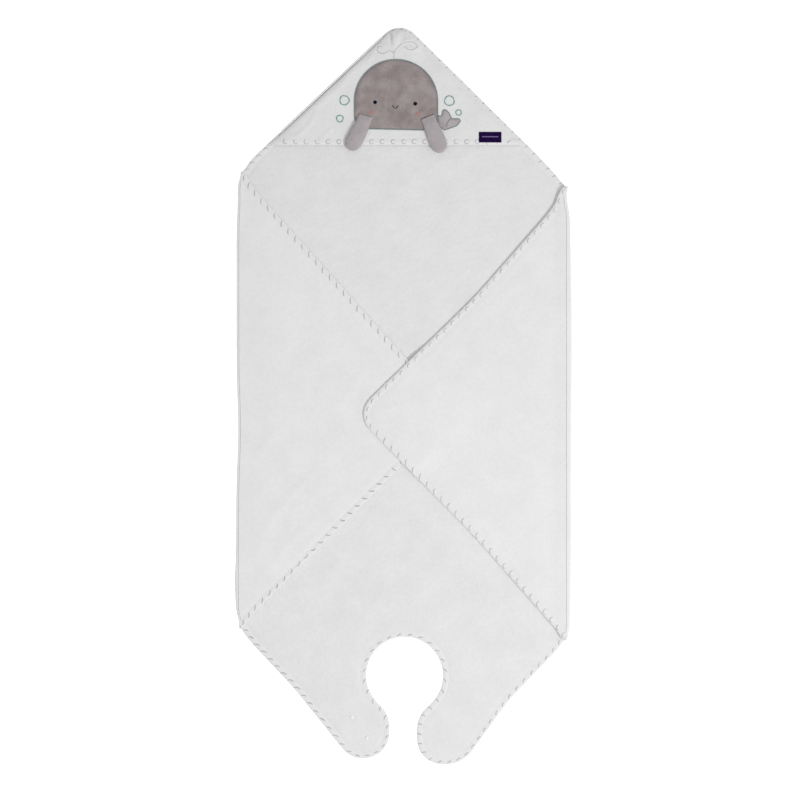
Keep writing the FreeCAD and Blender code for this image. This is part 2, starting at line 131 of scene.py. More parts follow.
def split_sides(loop, sharp=20):
    """The loop cut at its sharp corners, as open runs of points."""
    before = loop - np.roll(loop, 1, axis=0)
    after = np.roll(loop, -1, axis=0) - loop
    turn = np.degrees(np.arctan2(before[:, 0] * after[:, 1] - before[:, 1] * after[:, 0],
                                 np.sum(before * after, axis=1)))
    corners = [i for i in range(len(loop)) if abs(turn[i]) > sharp]
    runs = []
    for a, b in zip(corners, corners[1:] + [corners[0] + len(loop)]):
        runs.append(loop[np.arange(a, b + 1) % len(loop)])
    return runs


def side_near(runs, x, y):
    """The run that passes nearest to a point."""
    def away(run):
        dense = resample(run, 5.0)
        return np.min(np.hypot(dense[:, 0] - x, dense[:, 1] - y))
    return min(runs, key=away)


def resample(run, step):
    """Points spaced evenly along a run, keeping both ends."""
    lengths = np.hypot(*np.diff(run, axis=0).T[:2])
    keep = np.concatenate([[True], lengths > 1e-6])
    run = run[keep]
    lengths = lengths[lengths > 1e-6]
    along = np.concatenate([[0], np.cumsum(lengths)])
    count = max(2, int(round(along[-1] / step)) + 1)
    want = np.linspace(0, along[-1], count)
    return np.column_stack([np.interp(want, along, run[:, k]) for k in range(run.shape[1])])


def closed(loop):
    """A closed loop as a run that ends where it starts."""
    return np.vstack([loop, loop[:1]])


def soften(run, rounds):
    """Smooth the small facets of a run, keeping its ends."""
    run = run.copy()
    for _ in range(rounds):
        run[1:-1] = run[1:-1] / 2 + (run[:-2] + run[2:]) / 4
    return run


# --- fields over the towel ---------------------------------------------------
def smooth_step(t):
    t = np.clip(t, 0, 1)
    return t * t * (3 - 2 * t)


def wander(x, y, size, seed):
    """Smooth noise from -1 to 1 that changes over a given size."""
    return np.array([noise.noise(Vector((a / size, b / size, seed))) for a, b in zip(x, y)]) * 1.6


def distance_to(run, points):
    """The distance from each point to an open run of points."""
    best = np.full(len(points), 1e9)
    for a, b in zip(run[:-1], run[1:]):
        edge = b - a
        t = np.clip((points - a) @ edge / max(edge @ edge, 1e-9), 0, 1)
        near = a + t[:, None] * edge
        best = np.minimum(best, np.hypot(*(points - near).T))
    return best


def inside(loop, points):
    """Which points lie inside a closed loop."""
    x, y = points.T
    result = np.zeros(len(points), bool)
    for (ax, ay), (bx, by) in zip(loop, np.roll(loop, -1, axis=0)):
        crosses = (ay > y) != (by > y)
        if by != ay:
            result ^= crosses & (x < (bx - ax) * (y - ay) / (by - ay) + ax)
    return result


LEFT_FOLD = joint_place("left_flap_fold")
RIGHT_FOLD = joint_place("right_flap_fold")


# Soft shapes of the lying cloth: (y, reach along the side, how far the side moves towards +x).
LEFT_SIDE = [(391, 17, 7.0), (345, 40, 2.2), (160, 300, 0.8), (-60, 75, 3.4), (-325, 38, -2.2),
             (-402, 20, 5.6)]
RIGHT_SIDE = [(350, 28, -5.4), (95, 190, 3.8), (-60, 60, 0.9), (-250, 130, 2.4), (-426, 15, -4.0)]
SIDE_DEPTH = 70.0        # how far in from a side its cloth moves with it


def side_wave(y, waves):
    """How far a side has moved towards +x at a height y."""
    return sum(amount * np.exp(-((y - middle) / reach) ** 2) for middle, reach, amount in waves)


def settle(vertices):
    """Move the sides of the lying towel in where they were pushed in by hand."""
    vertices = np.array(vertices, float)
    x, y = vertices[:, 0].copy(), vertices[:, 1].copy()
    for side, fold_x, waves in ((-1, LEFT_FOLD[0], LEFT_SIDE), (1, RIGHT_FOLD[0], RIGHT_SIDE)):
        near = 1 - smooth_step(np.abs(x - fold_x) / SIDE_DEPTH)
        vertices[:, 0] -= side * near * np.maximum(-side * side_wave(y, waves), 0)
    return vertices


def bulge(side, y):
    """How far a side fold's roll stands out beyond its round shape."""
    return max(side * side_wave(y, LEFT_SIDE if side < 0 else RIGHT_SIDE), 0)


def crinkle(points, folds):
    """Height of soft fold lines: (start, end, bow, half width, height), each a bowed ridge."""
    total = np.zeros(len(points))
    for start, end, bow, width, height in folds:
        start, end = np.array(start, float), np.array(end, float)
        length = np.hypot(*(end - start))
        way = (end - start) / length
        t = (points - start) @ way / length
        aside = (points - start) @ np.array([-way[1], way[0]]) - bow * 4 * t * (1 - t)
        ends = smooth_step((t + 0.15) / 0.35) * smooth_step((1.15 - t) / 0.35)
        total += height * ends * np.exp(-(aside / width) ** 2)
    return total


# Slack lines of the two flaps and of the back, in the towel's frame.
LEFT_FLAP_FOLDS = [((-250, -250), (-150, -130), 8, 7, 0.9), ((-225, -290), (-120, -190), 6, 6, 0.7),
                   ((-262, -120), (-200, -40), 5, 8, 0.6), ((-120, -20), (-60, 60), -6, 9, 0.5)]
RIGHT_FLAP_FOLDS = [((150, 150), (255, 235), 6, 9, 0.7), ((60, -60), (150, -150), -6, 10, 0.5)]
BACK_FOLDS = [((120, 425), (215, 385), -6, 9, 0.9), ((60, 330), (150, 400), 8, 10, 0.6),
              ((-120, -420), (-80, -520), 6, 9, 0.6)]


def lift(x, y):
    """How far the whole stack stands off the floor in soft, low waves."""
    waves = 1.0 + 0.9 * wander(x, y, 150, 1.5) + 0.5 * wander(x + y, (x - y) * 0.35, 70, 4.5)
    calm = smooth_step((x - LEFT_FOLD[0]) / 60) * smooth_step((RIGHT_FOLD[0] - x) / 60)
    return np.clip(waves, 0, 3) * calm


def swell(distance):
    """The cloth's fullness: pressed flat under the tape and puffed beside it."""
    bead = np.exp(-((distance - TAPE - 5) / 5) ** 2)
    return smooth_step((distance - TAPE + 1) / 6) + 0.25 * bead


def inner_face(distance):
    return 3.3 + 0.75 * swell(distance)


def outer_face(distance):
    return 0.7 - 0.7 * swell(distance)


# --- mesh makers --------------------------------------------------------------
def make_object(name, vertices, faces, material):
    mesh = bpy.data.meshes.new(name)
    mesh.from_pydata([tuple(v) for v in settle(vertices) * MM], [], faces)
    mesh.validate()
    mesh.polygons.foreach_set("use_smooth", [True] * len(mesh.polygons))
    piece = bpy.data.objects.new(name, mesh)
    bpy.context.scene.collection.objects.link(piece)
    mesh.materials.append(material)
    return piece


RIM_GAP = 0.55             # inner points stay this share of a cell away from the rim


def triangulate(loop, cell):
    """A flat mesh of even triangles inside a closed loop: points, faces, rim length."""
    low = loop.min(axis=0)
    high = loop.max(axis=0)
    row_height = cell * math.sqrt(3) / 2
    rows = int((high[1] - low[1]) / row_height) + 1
    columns = int((high[0] - low[0]) / cell) + 2
    grid = []
    for row in range(rows):
        offset = cell / 2 if row % 2 else 0
        for column in range(columns):
            grid.append((low[0] + column * cell + offset, low[1] + row * row_height))
    grid = np.array(grid)
    grid = grid[inside(loop, grid)]
    grid = grid[distance_to(closed(loop), grid) > cell * RIM_GAP]
    points = [Vector(p) for p in loop] + [Vector(p) for p in grid]
    count = len(loop)
    edges = [(i, (i + 1) % count) for i in range(count)]
    out_points, _, faces, origin, _, _ = delaunay_2d_cdt(points, edges, [], 1, 1e-6)
    place = {}
    for new, old in enumerate(origin):
        for i in old:
            place[i] = new
    flat = np.array([p[:] for p in out_points])
    faces = [f if turns_left(flat, f) else f[::-1] for f in faces]
    return flat, faces, [place[i] for i in range(count)]


def turns_left(points, face):
    a, b, c = (points[i] for i in face[:3])
    return (b[0] - a[0]) * (c[1] - a[1]) - (b[1] - a[1]) * (c[0] - a[0]) > 0


def make_sheet(name, loop, cell, low_height, high_height, material):
    """A closed sheet of cloth over a flat loop, between two height functions of points."""
    flat, faces, border = triangulate(loop, cell)
    count = len(flat)
    lower = np.column_stack([flat, low_height(flat)])
    upper = np.column_stack([flat, high_height(flat)])
    all_faces = [tuple(i + count for i in f) for f in faces] + [tuple(f[::-1]) for f in faces]
    for a, b in zip(border, border[1:] + border[:1]):
        all_faces.append((a, b, b + count, a + count))
    return make_object(name, np.vstack([lower, upper]), all_faces, material)


def sweep(name, places, inward, up, profile, material):
    """A closed tube whose cross-section (inward, up) is carried along a run of stations.

    profile is one list of pairs for all stations, or one list per station."""
    rings = []
    for number, (place, across, rise) in enumerate(zip(places, inward, up)):
        shape = profile(number) if callable(profile) else profile
        rings.append([place + across * s + rise * n for s, n in shape])
    size = len(rings[0])
    vertices = np.array(rings).reshape(-1, 3)
    faces = []
    for ring in range(len(rings) - 1):
        for k in range(size):
            a = ring * size + k
            b = ring * size + (k + 1) % size
            faces.append((a, b, b + size, a + size))
    faces.append(tuple(range(size))[::-1])
    last = (len(rings) - 1) * size
    faces.append(tuple(range(last, last + size)))
    return make_object(name, vertices, faces, material)


def frames(places, up):
    """Unit tangents and inward directions of a run, from its points and up directions."""
    tangent = np.gradient(places, axis=0)
    tangent /= np.linalg.norm(tangent, axis=1)[:, None]
    across = np.cross(up, tangent)
    across /= np.linalg.norm(across, axis=1)[:, None]
    return tangent, across


def tube(name, places, radius, material, sides=8, flatten=1.0, ribs=0.0, rib_length=1.4):
    """A round thread along a run of points, with ribs if it is a row of stitches."""
    places = np.asarray(places, float)
    up = np.tile([0.0, 0.0, 1.0], (len(places), 1))
    _, across = frames(places, up)
    along = np.concatenate([[0], np.cumsum(np.linalg.norm(np.diff(places, axis=0), axis=1))])
    radii = np.full(len(places), float(radius)) if np.isscalar(radius) else np.asarray(radius)
    radii = radii * (1 + ribs * np.sin(along / rib_length * 2 * math.pi))

    def section(number):
        turn = np.arange(sides) / sides * 2 * math.pi
        r = radii[number]
        return [(r * math.cos(a), r * flatten * math.sin(a)) for a in turn]

    return sweep(name, places, across, up, section, material)


def join(name, parts):
    """One object from several of the same material."""
    first = parts[0]
    with bpy.context.temp_override(active_object=first, selected_editable_objects=parts):
        bpy.ops.object.join()
    first.name = name
    first.data.name = name
    return first


# --- materials ------------------------------------------------------------------
class Surface:
    """A procedural cloth or plastic, built from a few named layers."""

    def __init__(self, name, roughness, sheen=0.0, specular=0.2):
        self.material = bpy.data.materials.new(name)
        self.material.use_nodes = True
        self.nodes = self.material.node_tree.nodes
        self.links = self.material.node_tree.links
        self.shader = self.nodes["Principled BSDF"]
        self.shader.inputs["Roughness"].default_value = roughness
        self.shader.inputs["Sheen Weight"].default_value = sheen
        self.shader.inputs["Sheen Roughness"].default_value = 0.5
        self.shader.inputs["Specular IOR Level"].default_value = specular
        self.place = self.nodes.new("ShaderNodeTexCoord").outputs["Object"]
        self.height = None

    def noise(self, size_mm, detail=3.0, rough=0.6, stretch=None):
        place = self.place
        if stretch:
            mapping = self.nodes.new("ShaderNodeMapping")
            mapping.inputs["Scale"].default_value = stretch
            self.links.new(place, mapping.inputs["Vector"])
            place = mapping.outputs["Vector"]
        node = self.nodes.new("ShaderNodeTexNoise")
        node.inputs["Scale"].default_value = 1 / (size_mm * MM)
        node.inputs["Detail"].default_value = detail
        node.inputs["Roughness"].default_value = rough
        self.links.new(place, node.inputs["Vector"])
        return node.outputs["Fac"]

    def loops(self, size_mm):
        node = self.nodes.new("ShaderNodeTexVoronoi")
        node.feature = "SMOOTH_F1"
        node.inputs["Scale"].default_value = 1 / (size_mm * MM)
        node.inputs["Smoothness"].default_value = 0.6
        node.inputs["Randomness"].default_value = 1.0
        self.links.new(self.place, node.inputs["Vector"])
        return node.outputs["Distance"]

    def bands(self, size_mm, direction="X", distort=1.0):
        node = self.nodes.new("ShaderNodeTexWave")
        node.bands_direction = direction
        node.inputs["Scale"].default_value = 1 / (size_mm * MM) / (2 * math.pi) * 0.314
        node.inputs["Distortion"].default_value = distort
        node.inputs["Detail"].default_value = 1.0
        self.links.new(self.place, node.inputs["Vector"])
        return node.outputs["Fac"]

    def colour(self, field, dark, light, low=0.3, high=0.7):
        ramp = self.nodes.new("ShaderNodeValToRGB")
        ramp.color_ramp.elements[0].position = low
        ramp.color_ramp.elements[0].color = (*dark, 1)
        ramp.color_ramp.elements[1].position = high
        ramp.color_ramp.elements[1].color = (*light, 1)
        self.links.new(field, ramp.inputs["Fac"])
        return ramp.outputs["Color"]

    def blend(self, first, second, amount=0.5, kind="MULTIPLY"):
        mix = self.nodes.new("ShaderNodeMix")
        mix.data_type = "RGBA"
        mix.blend_type = kind
        mix.inputs["Factor"].default_value = amount
        self.links.new(first, mix.inputs["A"])
        self.links.new(second, mix.inputs["B"])
        return mix.outputs["Result"]

    def paint(self, colour):
        self.links.new(colour, self.shader.inputs["Base Color"])

    def emboss(self, field, depth_mm, strength=1.0):
        bump = self.nodes.new("ShaderNodeBump")
        bump.inputs["Strength"].default_value = strength
        bump.inputs["Distance"].default_value = depth_mm * MM
        self.links.new(field, bump.inputs["Height"])
        if self.height is not None:
            self.links.new(self.height, bump.inputs["Normal"])
        self.height = bump.outputs["Normal"]
        self.links.new(self.height, self.shader.inputs["Normal"])


def grey(value, warm=0.0):
    return (value * (1 + warm), value, value * (1 - warm))


def terry(name, dark, light, relief):
    """Cotton loops: small curls, tufts of a few loops, and faint lying marks."""
    cloth = Surface(name, 0.95, sheen=0.15, specular=0.15)
    patches = cloth.colour(cloth.noise(45, 3, 0.55), grey(dark), grey(light), 0.35, 0.65)
    tufts = cloth.colour(cloth.noise(6, 2, 0.6), grey(0.97), grey(1.0), 0.35, 0.6)
    cloth.paint(cloth.blend(patches, tufts, 1.0))
    cloth.emboss(cloth.noise(24, 2, 0.5, (1.0, 1.6, 1.0)), 2.2, relief)
    cloth.emboss(cloth.noise(7, 2, 0.5), 0.8, relief)
    cloth.emboss(cloth.loops(1.7), 0.5, 0.35)
    return cloth.material


def plush(name, dark, light, deep):
    """Short velvety pile with a brushed, slightly patchy nap."""
    cloth = Surface(name, 0.9, sheen=0.35, specular=0.1)
    patches = cloth.colour(cloth.noise(22, 4, 0.6), dark, light, 0.35, 0.65)
    nap = cloth.colour(cloth.noise(2.6, 4, 0.7), deep, (1, 1, 1), 0.3, 0.6)
    cloth.paint(cloth.blend(patches, nap, 1.0))
    cloth.emboss(cloth.noise(9, 3, 0.6), 0.9, 0.5)
    cloth.emboss(cloth.noise(1.1, 3, 0.7), 0.5, 0.6)
    return cloth.material


def woven(name, dark, light, size_mm=0.7, roughness=0.7, sheen=0.1, specular=0.2):
    """A smooth fine weave, for the tape and the label."""
    cloth = Surface(name, roughness, sheen, specular)
    cloth.paint(cloth.colour(cloth.noise(6, 3, 0.6), dark, light, 0.35, 0.65))
    cloth.emboss(cloth.bands(size_mm, "DIAGONAL"), 0.15, 0.5)
    cloth.emboss(cloth.noise(3, 2, 0.5), 0.3, 0.4)
    return cloth.material


def thread(name, dark, light, sheen=0.15, specular=0.25):
    """Embroidery thread, streaked by its strands."""
    yarn = Surface(name, 0.6, sheen, specular)
    yarn.paint(yarn.colour(yarn.noise(0.7, 2, 0.6, (1, 3, 1)), dark, light, 0.3, 0.7))
    yarn.emboss(yarn.noise(0.5, 2, 0.6, (1, 3, 1)), 0.2, 0.7)
    return yarn.material


def moulded(name, dark, light):
    """Satin moulded plastic with a faint grain."""
    plastic = Surface(name, 0.35, specular=0.5)
    plastic.paint(plastic.colour(plastic.noise(3, 2), dark, light))
    plastic.emboss(plastic.noise(0.4, 2), 0.02, 0.4)
    return plastic.material


TERRY_BACK = terry("terry_back", 0.735, 0.765, 0.55)
TERRY_FLAP = terry("terry_flap", 0.762, 0.785, 0.22)
TAPE_CLOTH = woven("tape_cloth", grey(0.735), grey(0.765))
MARK_PRINT = woven("tape_print", grey(0.42), grey(0.50))
WHALE = plush("whale_plush", (0.272, 0.226, 0.224), (0.370, 0.322, 0.325), grey(0.87))
TAIL = plush("tail_plush", (0.385, 0.352, 0.362), (0.455, 0.420, 0.432), grey(0.90))
FLIPPER = plush("flipper_plush", (0.385, 0.352, 0.368), (0.445, 0.410, 0.425), grey(0.90))
TEAL = thread("teal_thread", (0.14, 0.19, 0.19), (0.26, 0.33, 0.32))
BUBBLE_TEAL = thread("bubble_thread", (0.13, 0.29, 0.26), (0.26, 0.44, 0.40))
NAVY = thread("navy_thread", (0.002, 0.004, 0.012), (0.007, 0.012, 0.030), 0.0, 0.08)
CORAL = thread("coral_thread", (0.36, 0.215, 0.198), (0.48, 0.28, 0.255))
PALE = thread("pale_thread", (0.52, 0.52, 0.56), (0.64, 0.64, 0.68))
MAUVE = thread("mauve_thread", (0.40, 0.37, 0.38), (0.50, 0.465, 0.475))
LABEL = woven("label_weave", (0.009, 0.001, 0.034), (0.016, 0.004, 0.050), 0.5, 0.9, 0.0, 0.05)
LABEL_STRIPE = thread("label_stripe", (0.13, 0.10, 0.20), (0.22, 0.18, 0.31), 0.0, 0.1)
SNAP = moulded("snap_plastic", grey(0.80), grey(0.86))


# --- the towel's edges --------------------------------------------------------
back_sides = split_sides(rim("back_inner_layer"))
TOP_Y = cad_high("top_edge_binding")[1]
top_edge = side_near(back_sides, 0, TOP_Y)
neck_top = cad_high("neck_binding")[1]
neck_edge = side_near(back_sides, cad_middle("neck_binding")[0], neck_top)
left_lower, right_lower = (side_near(back_sides, *cad_middle(side + "_lower_binding")[:2])
                           for side in ("left", "right"))


def even(run, step=TAPE_STEP, rounds=10):
    """A run with even, close points and its facets rounded off."""
    return soften(resample(run, step), rounds)


def opened_at(loop, x):
    """A closed loop as an open run that starts and ends at its long side along x."""
    ahead = np.roll(loop, -1, axis=0)
    on_line = (np.abs(loop[:, 0] - x) < 0.5) & (np.abs(ahead[:, 0] - x) < 0.5)
    side = np.argmax(on_line * np.abs(ahead[:, 1] - loop[:, 1]))
    return np.roll(loop, -(side + 1), axis=0)


def free_edge(fold_x, flap, tip=None):
    """A flap's free edge, clockwise from above: anticlockwise where it is unfolded."""
    loop = rim(flap)
    if tip:
        seam_x = cad_low(tip)[0]
        loop = np.vstack([opened_at(loop, seam_x), opened_at(rim(tip), seam_x)[1:-1]])
    return opened_at(loop, fold_x)[::-1]


left_edge = free_edge(LEFT_FOLD[0], "left_flap_inner_layer", "left_flap_tip_inner_layer")
right_edge = free_edge(RIGHT_FOLD[0], "right_flap_inner_layer")


# --- the taped edge, once round the unfolded towel ------------------------------
LEFT_HEIGHT = 2 * LEFT_FOLD[2]       # the left flap's outer face at rest
RIGHT_HEIGHT = 2 * RIGHT_FOLD[2]


def back_stretch(run):
    """Stations on a part of the back's edge: places on the outer face, and up through the cloth."""
    run = even(run)
    x, y = run.T
    return np.column_stack([run, lift(x, y)]), np.tile([0.0, 0.0, 1.0], (len(run), 1))


def left_height(points):
    """The left flap's outer face above the floor's waves: it lies flat on the back."""
    return np.full(len(points), LEFT_HEIGHT)


OVER_MARGIN = 8.0        # the right flap stays high this far round the left flap
OVER_SLOPE = 45.0
SINK = 4.0               # how far it sinks where nothing lies under it
FOLD_EDGE = 26.0         # it sinks quickly this far from its fold, by this share of SINK
FOLD_DROP = 0.55
FOLD_SLOPE = 150.0       # and slowly as far as this


def right_height(points):
    """The right flap's outer face: high at its fold and over the left flap, and low elsewhere."""
    away = distance_to(closed(left_edge), points) * np.where(inside(left_edge, points), -1, 1)
    over_left = 1 - smooth_step((away - OVER_MARGIN) / OVER_SLOPE)
    inside_fold = RIGHT_FOLD[0] - points[:, 0]
    quick = FOLD_DROP * smooth_step(inside_fold / FOLD_EDGE)
    near_fold = 1 - quick - (1 - FOLD_DROP) * smooth_step(inside_fold / FOLD_SLOPE)
    return RIGHT_HEIGHT - SINK * (1 - np.maximum(over_left, near_fold))


def flap_stretch(run, height):
    """Stations on a folded flap's edge, whose cloth is the other way up."""
    run = even(run)
    x, y = run.T
    return np.column_stack([run, lift(x, y) + height(run)]), np.tile([0.0, 0.0, -1.0], (len(run), 1))


ROLL_FLATNESS = 0.72     # below 1, a side fold is flatter on its faces than a half circle


def roll_point(fold, side, turn, y, n):
    """A point of the cloth that goes round a side fold; turn is 0 at the back and pi at the flap."""
    reach = fold[2] - n
    out = (reach + bulge(side, y)) * abs(math.sin(turn)) ** ROLL_FLATNESS
    up = math.copysign(abs(math.cos(turn)) ** ROLL_FLATNESS, -math.cos(turn))
    return (fold[0] + side * out, y, fold[2] + reach * up)


def roll_length(fold, side, y):
    """How far the cloth goes round a side fold, along the middle of its thickness."""
    turns = np.linspace(0, math.pi, ROLL_STEPS + 1)
    middle = np.array([roll_point(fold, side, turn, y, CLOTH / 2) for turn in turns])
    return np.linalg.norm(np.diff(middle, axis=0), axis=1).sum()


def roll_stretch(fold, side, y_back, y_flap, reverse=False):
    """Stations on one end of a side fold, from the back to the flap or in reverse."""
    turns = np.linspace(0, math.pi, ROLL_STEPS + 1)
    places = []
    ups = []
    for turn in turns:
        y = y_back + (y_flap - y_back) * turn / math.pi
        places.append(roll_point(fold, side, turn, y, 0))
        ups.append((-side * math.sin(turn), 0.0, math.cos(turn)))
    places = np.array(places)
    ups = np.array(ups)
    return (places[::-1], ups[::-1]) if reverse else (places, ups)


left_tab_edge = max(split_sides(rim("left_tab_inner_layer")), key=len)
right_tab_edge = max(split_sides(rim("right_tab_inner_layer")), key=len)
left_tab_edge[0] = left_lower[-1]
left_tab_edge[-1] = neck_edge[0]
right_tab_edge[0] = neck_edge[-1]
right_tab_edge[-1] = right_lower[0]

stretches = [
    ("top", *back_stretch(top_edge)),
    ("left_fold_top", *roll_stretch(LEFT_FOLD, -1, top_edge[-1][1], left_edge[0][1])),
    ("left_flap", *flap_stretch(left_edge, left_height)),
    ("left_fold_bottom", *roll_stretch(LEFT_FOLD, -1, left_lower[0][1], left_edge[-1][1], True)),
    ("left_lower", *back_stretch(left_lower)),
    ("left_tab", *back_stretch(left_tab_edge)),
    ("neck", *back_stretch(neck_edge)),
    ("right_tab", *back_stretch(right_tab_edge)),
    ("right_lower", *back_stretch(right_lower)),
    ("right_fold_bottom", *roll_stretch(RIGHT_FOLD, 1, right_lower[-1][1], right_edge[0][1])),
    ("right_flap", *flap_stretch(right_edge, right_height)),
    ("right_fold_top", *roll_stretch(RIGHT_FOLD, 1, top_edge[0][1], right_edge[-1][1], True)),
]
path_places = np.vstack([places for _, places, _ in stretches])
path_ups = np.vstack([ups for _, _, ups in stretches])


def path_tangents():
    """Travel directions round the closed path, smoothed over neighbours."""
    ahead = np.roll(path_places, -2, axis=0) - np.roll(path_places, 2, axis=0)
    return ahead / np.linalg.norm(ahead, axis=1)[:, None]


path_inward = np.cross(path_ups, path_tangents())
path_inward /= np.linalg.norm(path_inward, axis=1)[:, None]
edge_parts = {}
start = 0
for name, places, ups in stretches:
    stop = start + len(places)
    edge_parts[name] = (path_places[start:stop], path_inward[start:stop], path_ups[start:stop])
    start = stop
# neighbours share the inward direction where they meet
names = [name for name, _, _ in stretches]
for name, follower in zip(names, names[1:] + names[:1]):
    middle = edge_parts[name][1][-1] + edge_parts[follower][1][0]
    middle /= np.linalg.norm(middle)
    edge_parts[name][1][-1] = middle
    edge_parts[follower][1][0] = middle

HEM_Y = cad_low("hood_panel")[1]
TAPE_SKIN = 0.5
TAPE_OUTER = [(TAPE, 0.55), (TAPE - 2, 0.2), (5.0, -0.1), (1.0, 0.1), (-0.5, 0.7), (-TAPE_EDGE, 1.6),
              (-TAPE_EDGE, 2.5), (-0.5, 3.4), (1.0, 4.0), (5.0, 4.15), (TAPE - 2, 3.85), (TAPE, 3.5)]
TAPE_INNER = [(TAPE, 3.5 - TAPE_SKIN), (1.0, 4.0 - TAPE_SKIN), (-0.3, 2.4), (-0.3, 1.7), (1.0, 0.6),
              (TAPE, 0.55 + TAPE_SKIN)]
TAPE_SECTION = TAPE_OUTER + TAPE_INNER


def add_tape(name, part):
    places, inward, ups = edge_parts[part]
    return sweep(name, places, inward, ups, TAPE_SECTION, TAPE_CLOTH)


# --- the crescents printed on the tape ------------------------------------------
def crescent(length, bend, width, steps=9):
    """A printed stroke about its own middle: its two sides, along its chord and towards its bulge."""
    t = np.linspace(-1, 1, steps)
    if bend > 0.05:
        reach = length / 2 / math.sin(min(bend, math.pi / 2))
        level = (1 + math.cos(bend)) / 2
        middle = np.column_stack([reach * np.sin(t * bend), reach * (np.cos(t * bend) - level)])
    else:
        middle = np.column_stack([t * length / 2, 0 * t])
    step = np.gradient(middle, axis=0)
    step /= np.linalg.norm(step, axis=1)[:, None]
    normal = np.column_stack([-step[:, 1], step[:, 0]])
    half = (width / 2 * (1 - 0.65 * np.abs(t) ** 2.5))[:, None]
    return middle + normal * half, middle - normal * half


MARK_HEIGHT = 0.12       # how far a print stands off the tape
MARK_SUNK = -0.15


def chord_basis(degrees):
    """The unit vectors along a print's chord and towards its bulge."""
    turn = math.radians(degrees)
    return np.array([(math.cos(turn), math.sin(turn)), (-math.sin(turn), math.cos(turn))])


MARK_END = 0.2           # a print stays this far from the ends of its tape


def print_spots(outline, basis, place, length, low, high):
    """The two sides of a print placed on a tape, kept within its length and two places across."""
    spots = []
    for side in outline:
        spot = side @ basis + place
        spot[:, 1] = np.clip(spot[:, 1], low, high)
        spot[:, 0] = np.clip(spot[:, 0], MARK_END, length - MARK_END)
        spots.append(spot)
    return spots


def mark_patch(spots, surface):
    """A thin closed patch over a ribbon of spots, on a surface that maps (along, across, height)."""
    left, right = spots
    count = len(left)
    rows = [left, (left + right) / 2, right]
    vertices = [surface(along, across, height)
                for height in (MARK_HEIGHT, MARK_SUNK) for row in rows for along, across in row]
    faces = []
    for layer in (0, 1):
        base = layer * 3 * count
        for row in (0, 1):
            for k in range(count - 1):
                a = base + row * count + k
                quad = (a, a + 1, a + 1 + count, a + count)
                faces.append(quad[::-1] if layer == 0 else quad)
    far_side = [2 * count + k for k in range(count - 1, -1, -1)]
    ring = list(range(count)) + [2 * count - 1] + far_side + [count]
    for a, b in zip(ring, ring[1:] + ring[:1]):
        faces.append((a, b, b + 3 * count, a + 3 * count))
    return vertices, faces


def tape_surface(part, outer):
    """A function from (along, across, height) to a point just off the tape's skin."""
    places, inward, ups = edge_parts[part]
    along = np.concatenate([[0], np.cumsum(np.linalg.norm(np.diff(places, axis=0), axis=1))])
    skin = TAPE_OUTER[:6][::-1] if outer else TAPE_OUTER[6:]

    def at(u, s, height):
        place, across, up = (np.array([np.interp(u, along, rows[:, k]) for k in range(3)])
                             for rows in (places, inward, ups))
        n = np.interp(s, [p[0] for p in skin], [p[1] for p in skin])
        n += -height if outer else height
        return place + across * s + up * n

    return at, along[-1], lambda u: np.array([np.interp(u, along, inward[:, k]) for k in range(3)])


def add_marks(name, part, style, outer=False, phase=0.5):
    """The prints along one stretch of tape.

    style(fraction, number) gives a print's length, bend, direction, width and place across.
    The direction is that of its chord, in degrees, seen from above on the lying towel."""
    surface, length, inward_at = tape_surface(part, outer)
    ups = edge_parts[part][2]
    level = abs(ups[len(ups) // 2][2]) > 0.9
    count = max(1, int(round(length / MARK_PITCH)))
    patches = []
    for number in range(count):
        u = (number + phase) * length / count
        size, bend, direction, width, across = style(u / length, number)
        basis = chord_basis(direction)
        if level:
            inward = inward_at(u)[:2]
            tangent = np.array([inward[1], -inward[0]]) * np.sign(ups[len(ups) // 2][2])
            basis = np.array([[way @ tangent, way @ inward] for way in basis])
        spots = print_spots(crescent(size, bend, width), basis, (u, across), length, -0.7, TAPE - 0.3)
        patches.append(mark_patch(spots, surface))
    return prints_object(name, patches)


def prints_object(name, patches):
    """One object from the patches of several prints."""
    vertices = []
    faces = []
    for patch, patch_faces in patches:
        faces += [tuple(i + len(vertices) for i in face) for face in patch_faces]
        vertices += patch
    return outward(make_object(name, vertices, faces, MARK_PRINT))


def outward(piece):
    """Turn a closed mesh's faces to point outwards."""
    work = bmesh.new()
    work.from_mesh(piece.data)
    bmesh.ops.recalc_face_normals(work, faces=work.faces)
    work.to_mesh(piece.data)
    work.free()
    return piece


def vary(number, seed, amount):
    """A steady small variation from one print to the next."""
    return amount * math.sin(number * 2.4 + seed) * math.cos(number * 1.1 + seed * 3)


def strokes(direction, size=11.0, width=2.0, across=4.6, bend=0.5):
    """Prints seen as short strokes that lie in one direction."""
    def style(fraction, number):
        return (size + vary(number, 1, 1.2), bend, direction + vary(number, 2, 8),
                width + vary(number, 3, 0.35), across + vary(number, 4, 0.4))
    return style


def changing(*steps):
    """Styles at fractions of a stretch, each changing into the next: (fraction, style), ..."""
    def style(fraction, number):
        places = [place for place, _ in steps]
        values = np.array([kind(fraction, number) for _, kind in steps])
        return tuple(float(np.interp(fraction, places, values[:, k])) for k in range(5))
    return style


# --- the cloth -------------------------------------------------------------------
level_edges = [places[:, :2] for places in (edge_parts[part][0] for part in
               ("top", "left_lower", "left_tab", "neck", "right_tab", "right_lower"))]


def from_edges(runs, points):
    return np.min([distance_to(run[::2] if len(run) > 20 else run, points) for run in runs], axis=0)


def ruffle(points, size=26.0, height=0.35, seed=9.0):
    """Small soft dents in the pile."""
    x, y = points.T
    return height * wander(x, y, size, seed)


def edges_of(part):
    return edge_parts[part][0][:, :2]


def loop_of(*runs):
    """A closed loop from runs that meet end to end."""
    return np.vstack([run[:-1] for run in runs])


def coarse(run, cell=CELL):
    return resample(run, cell)


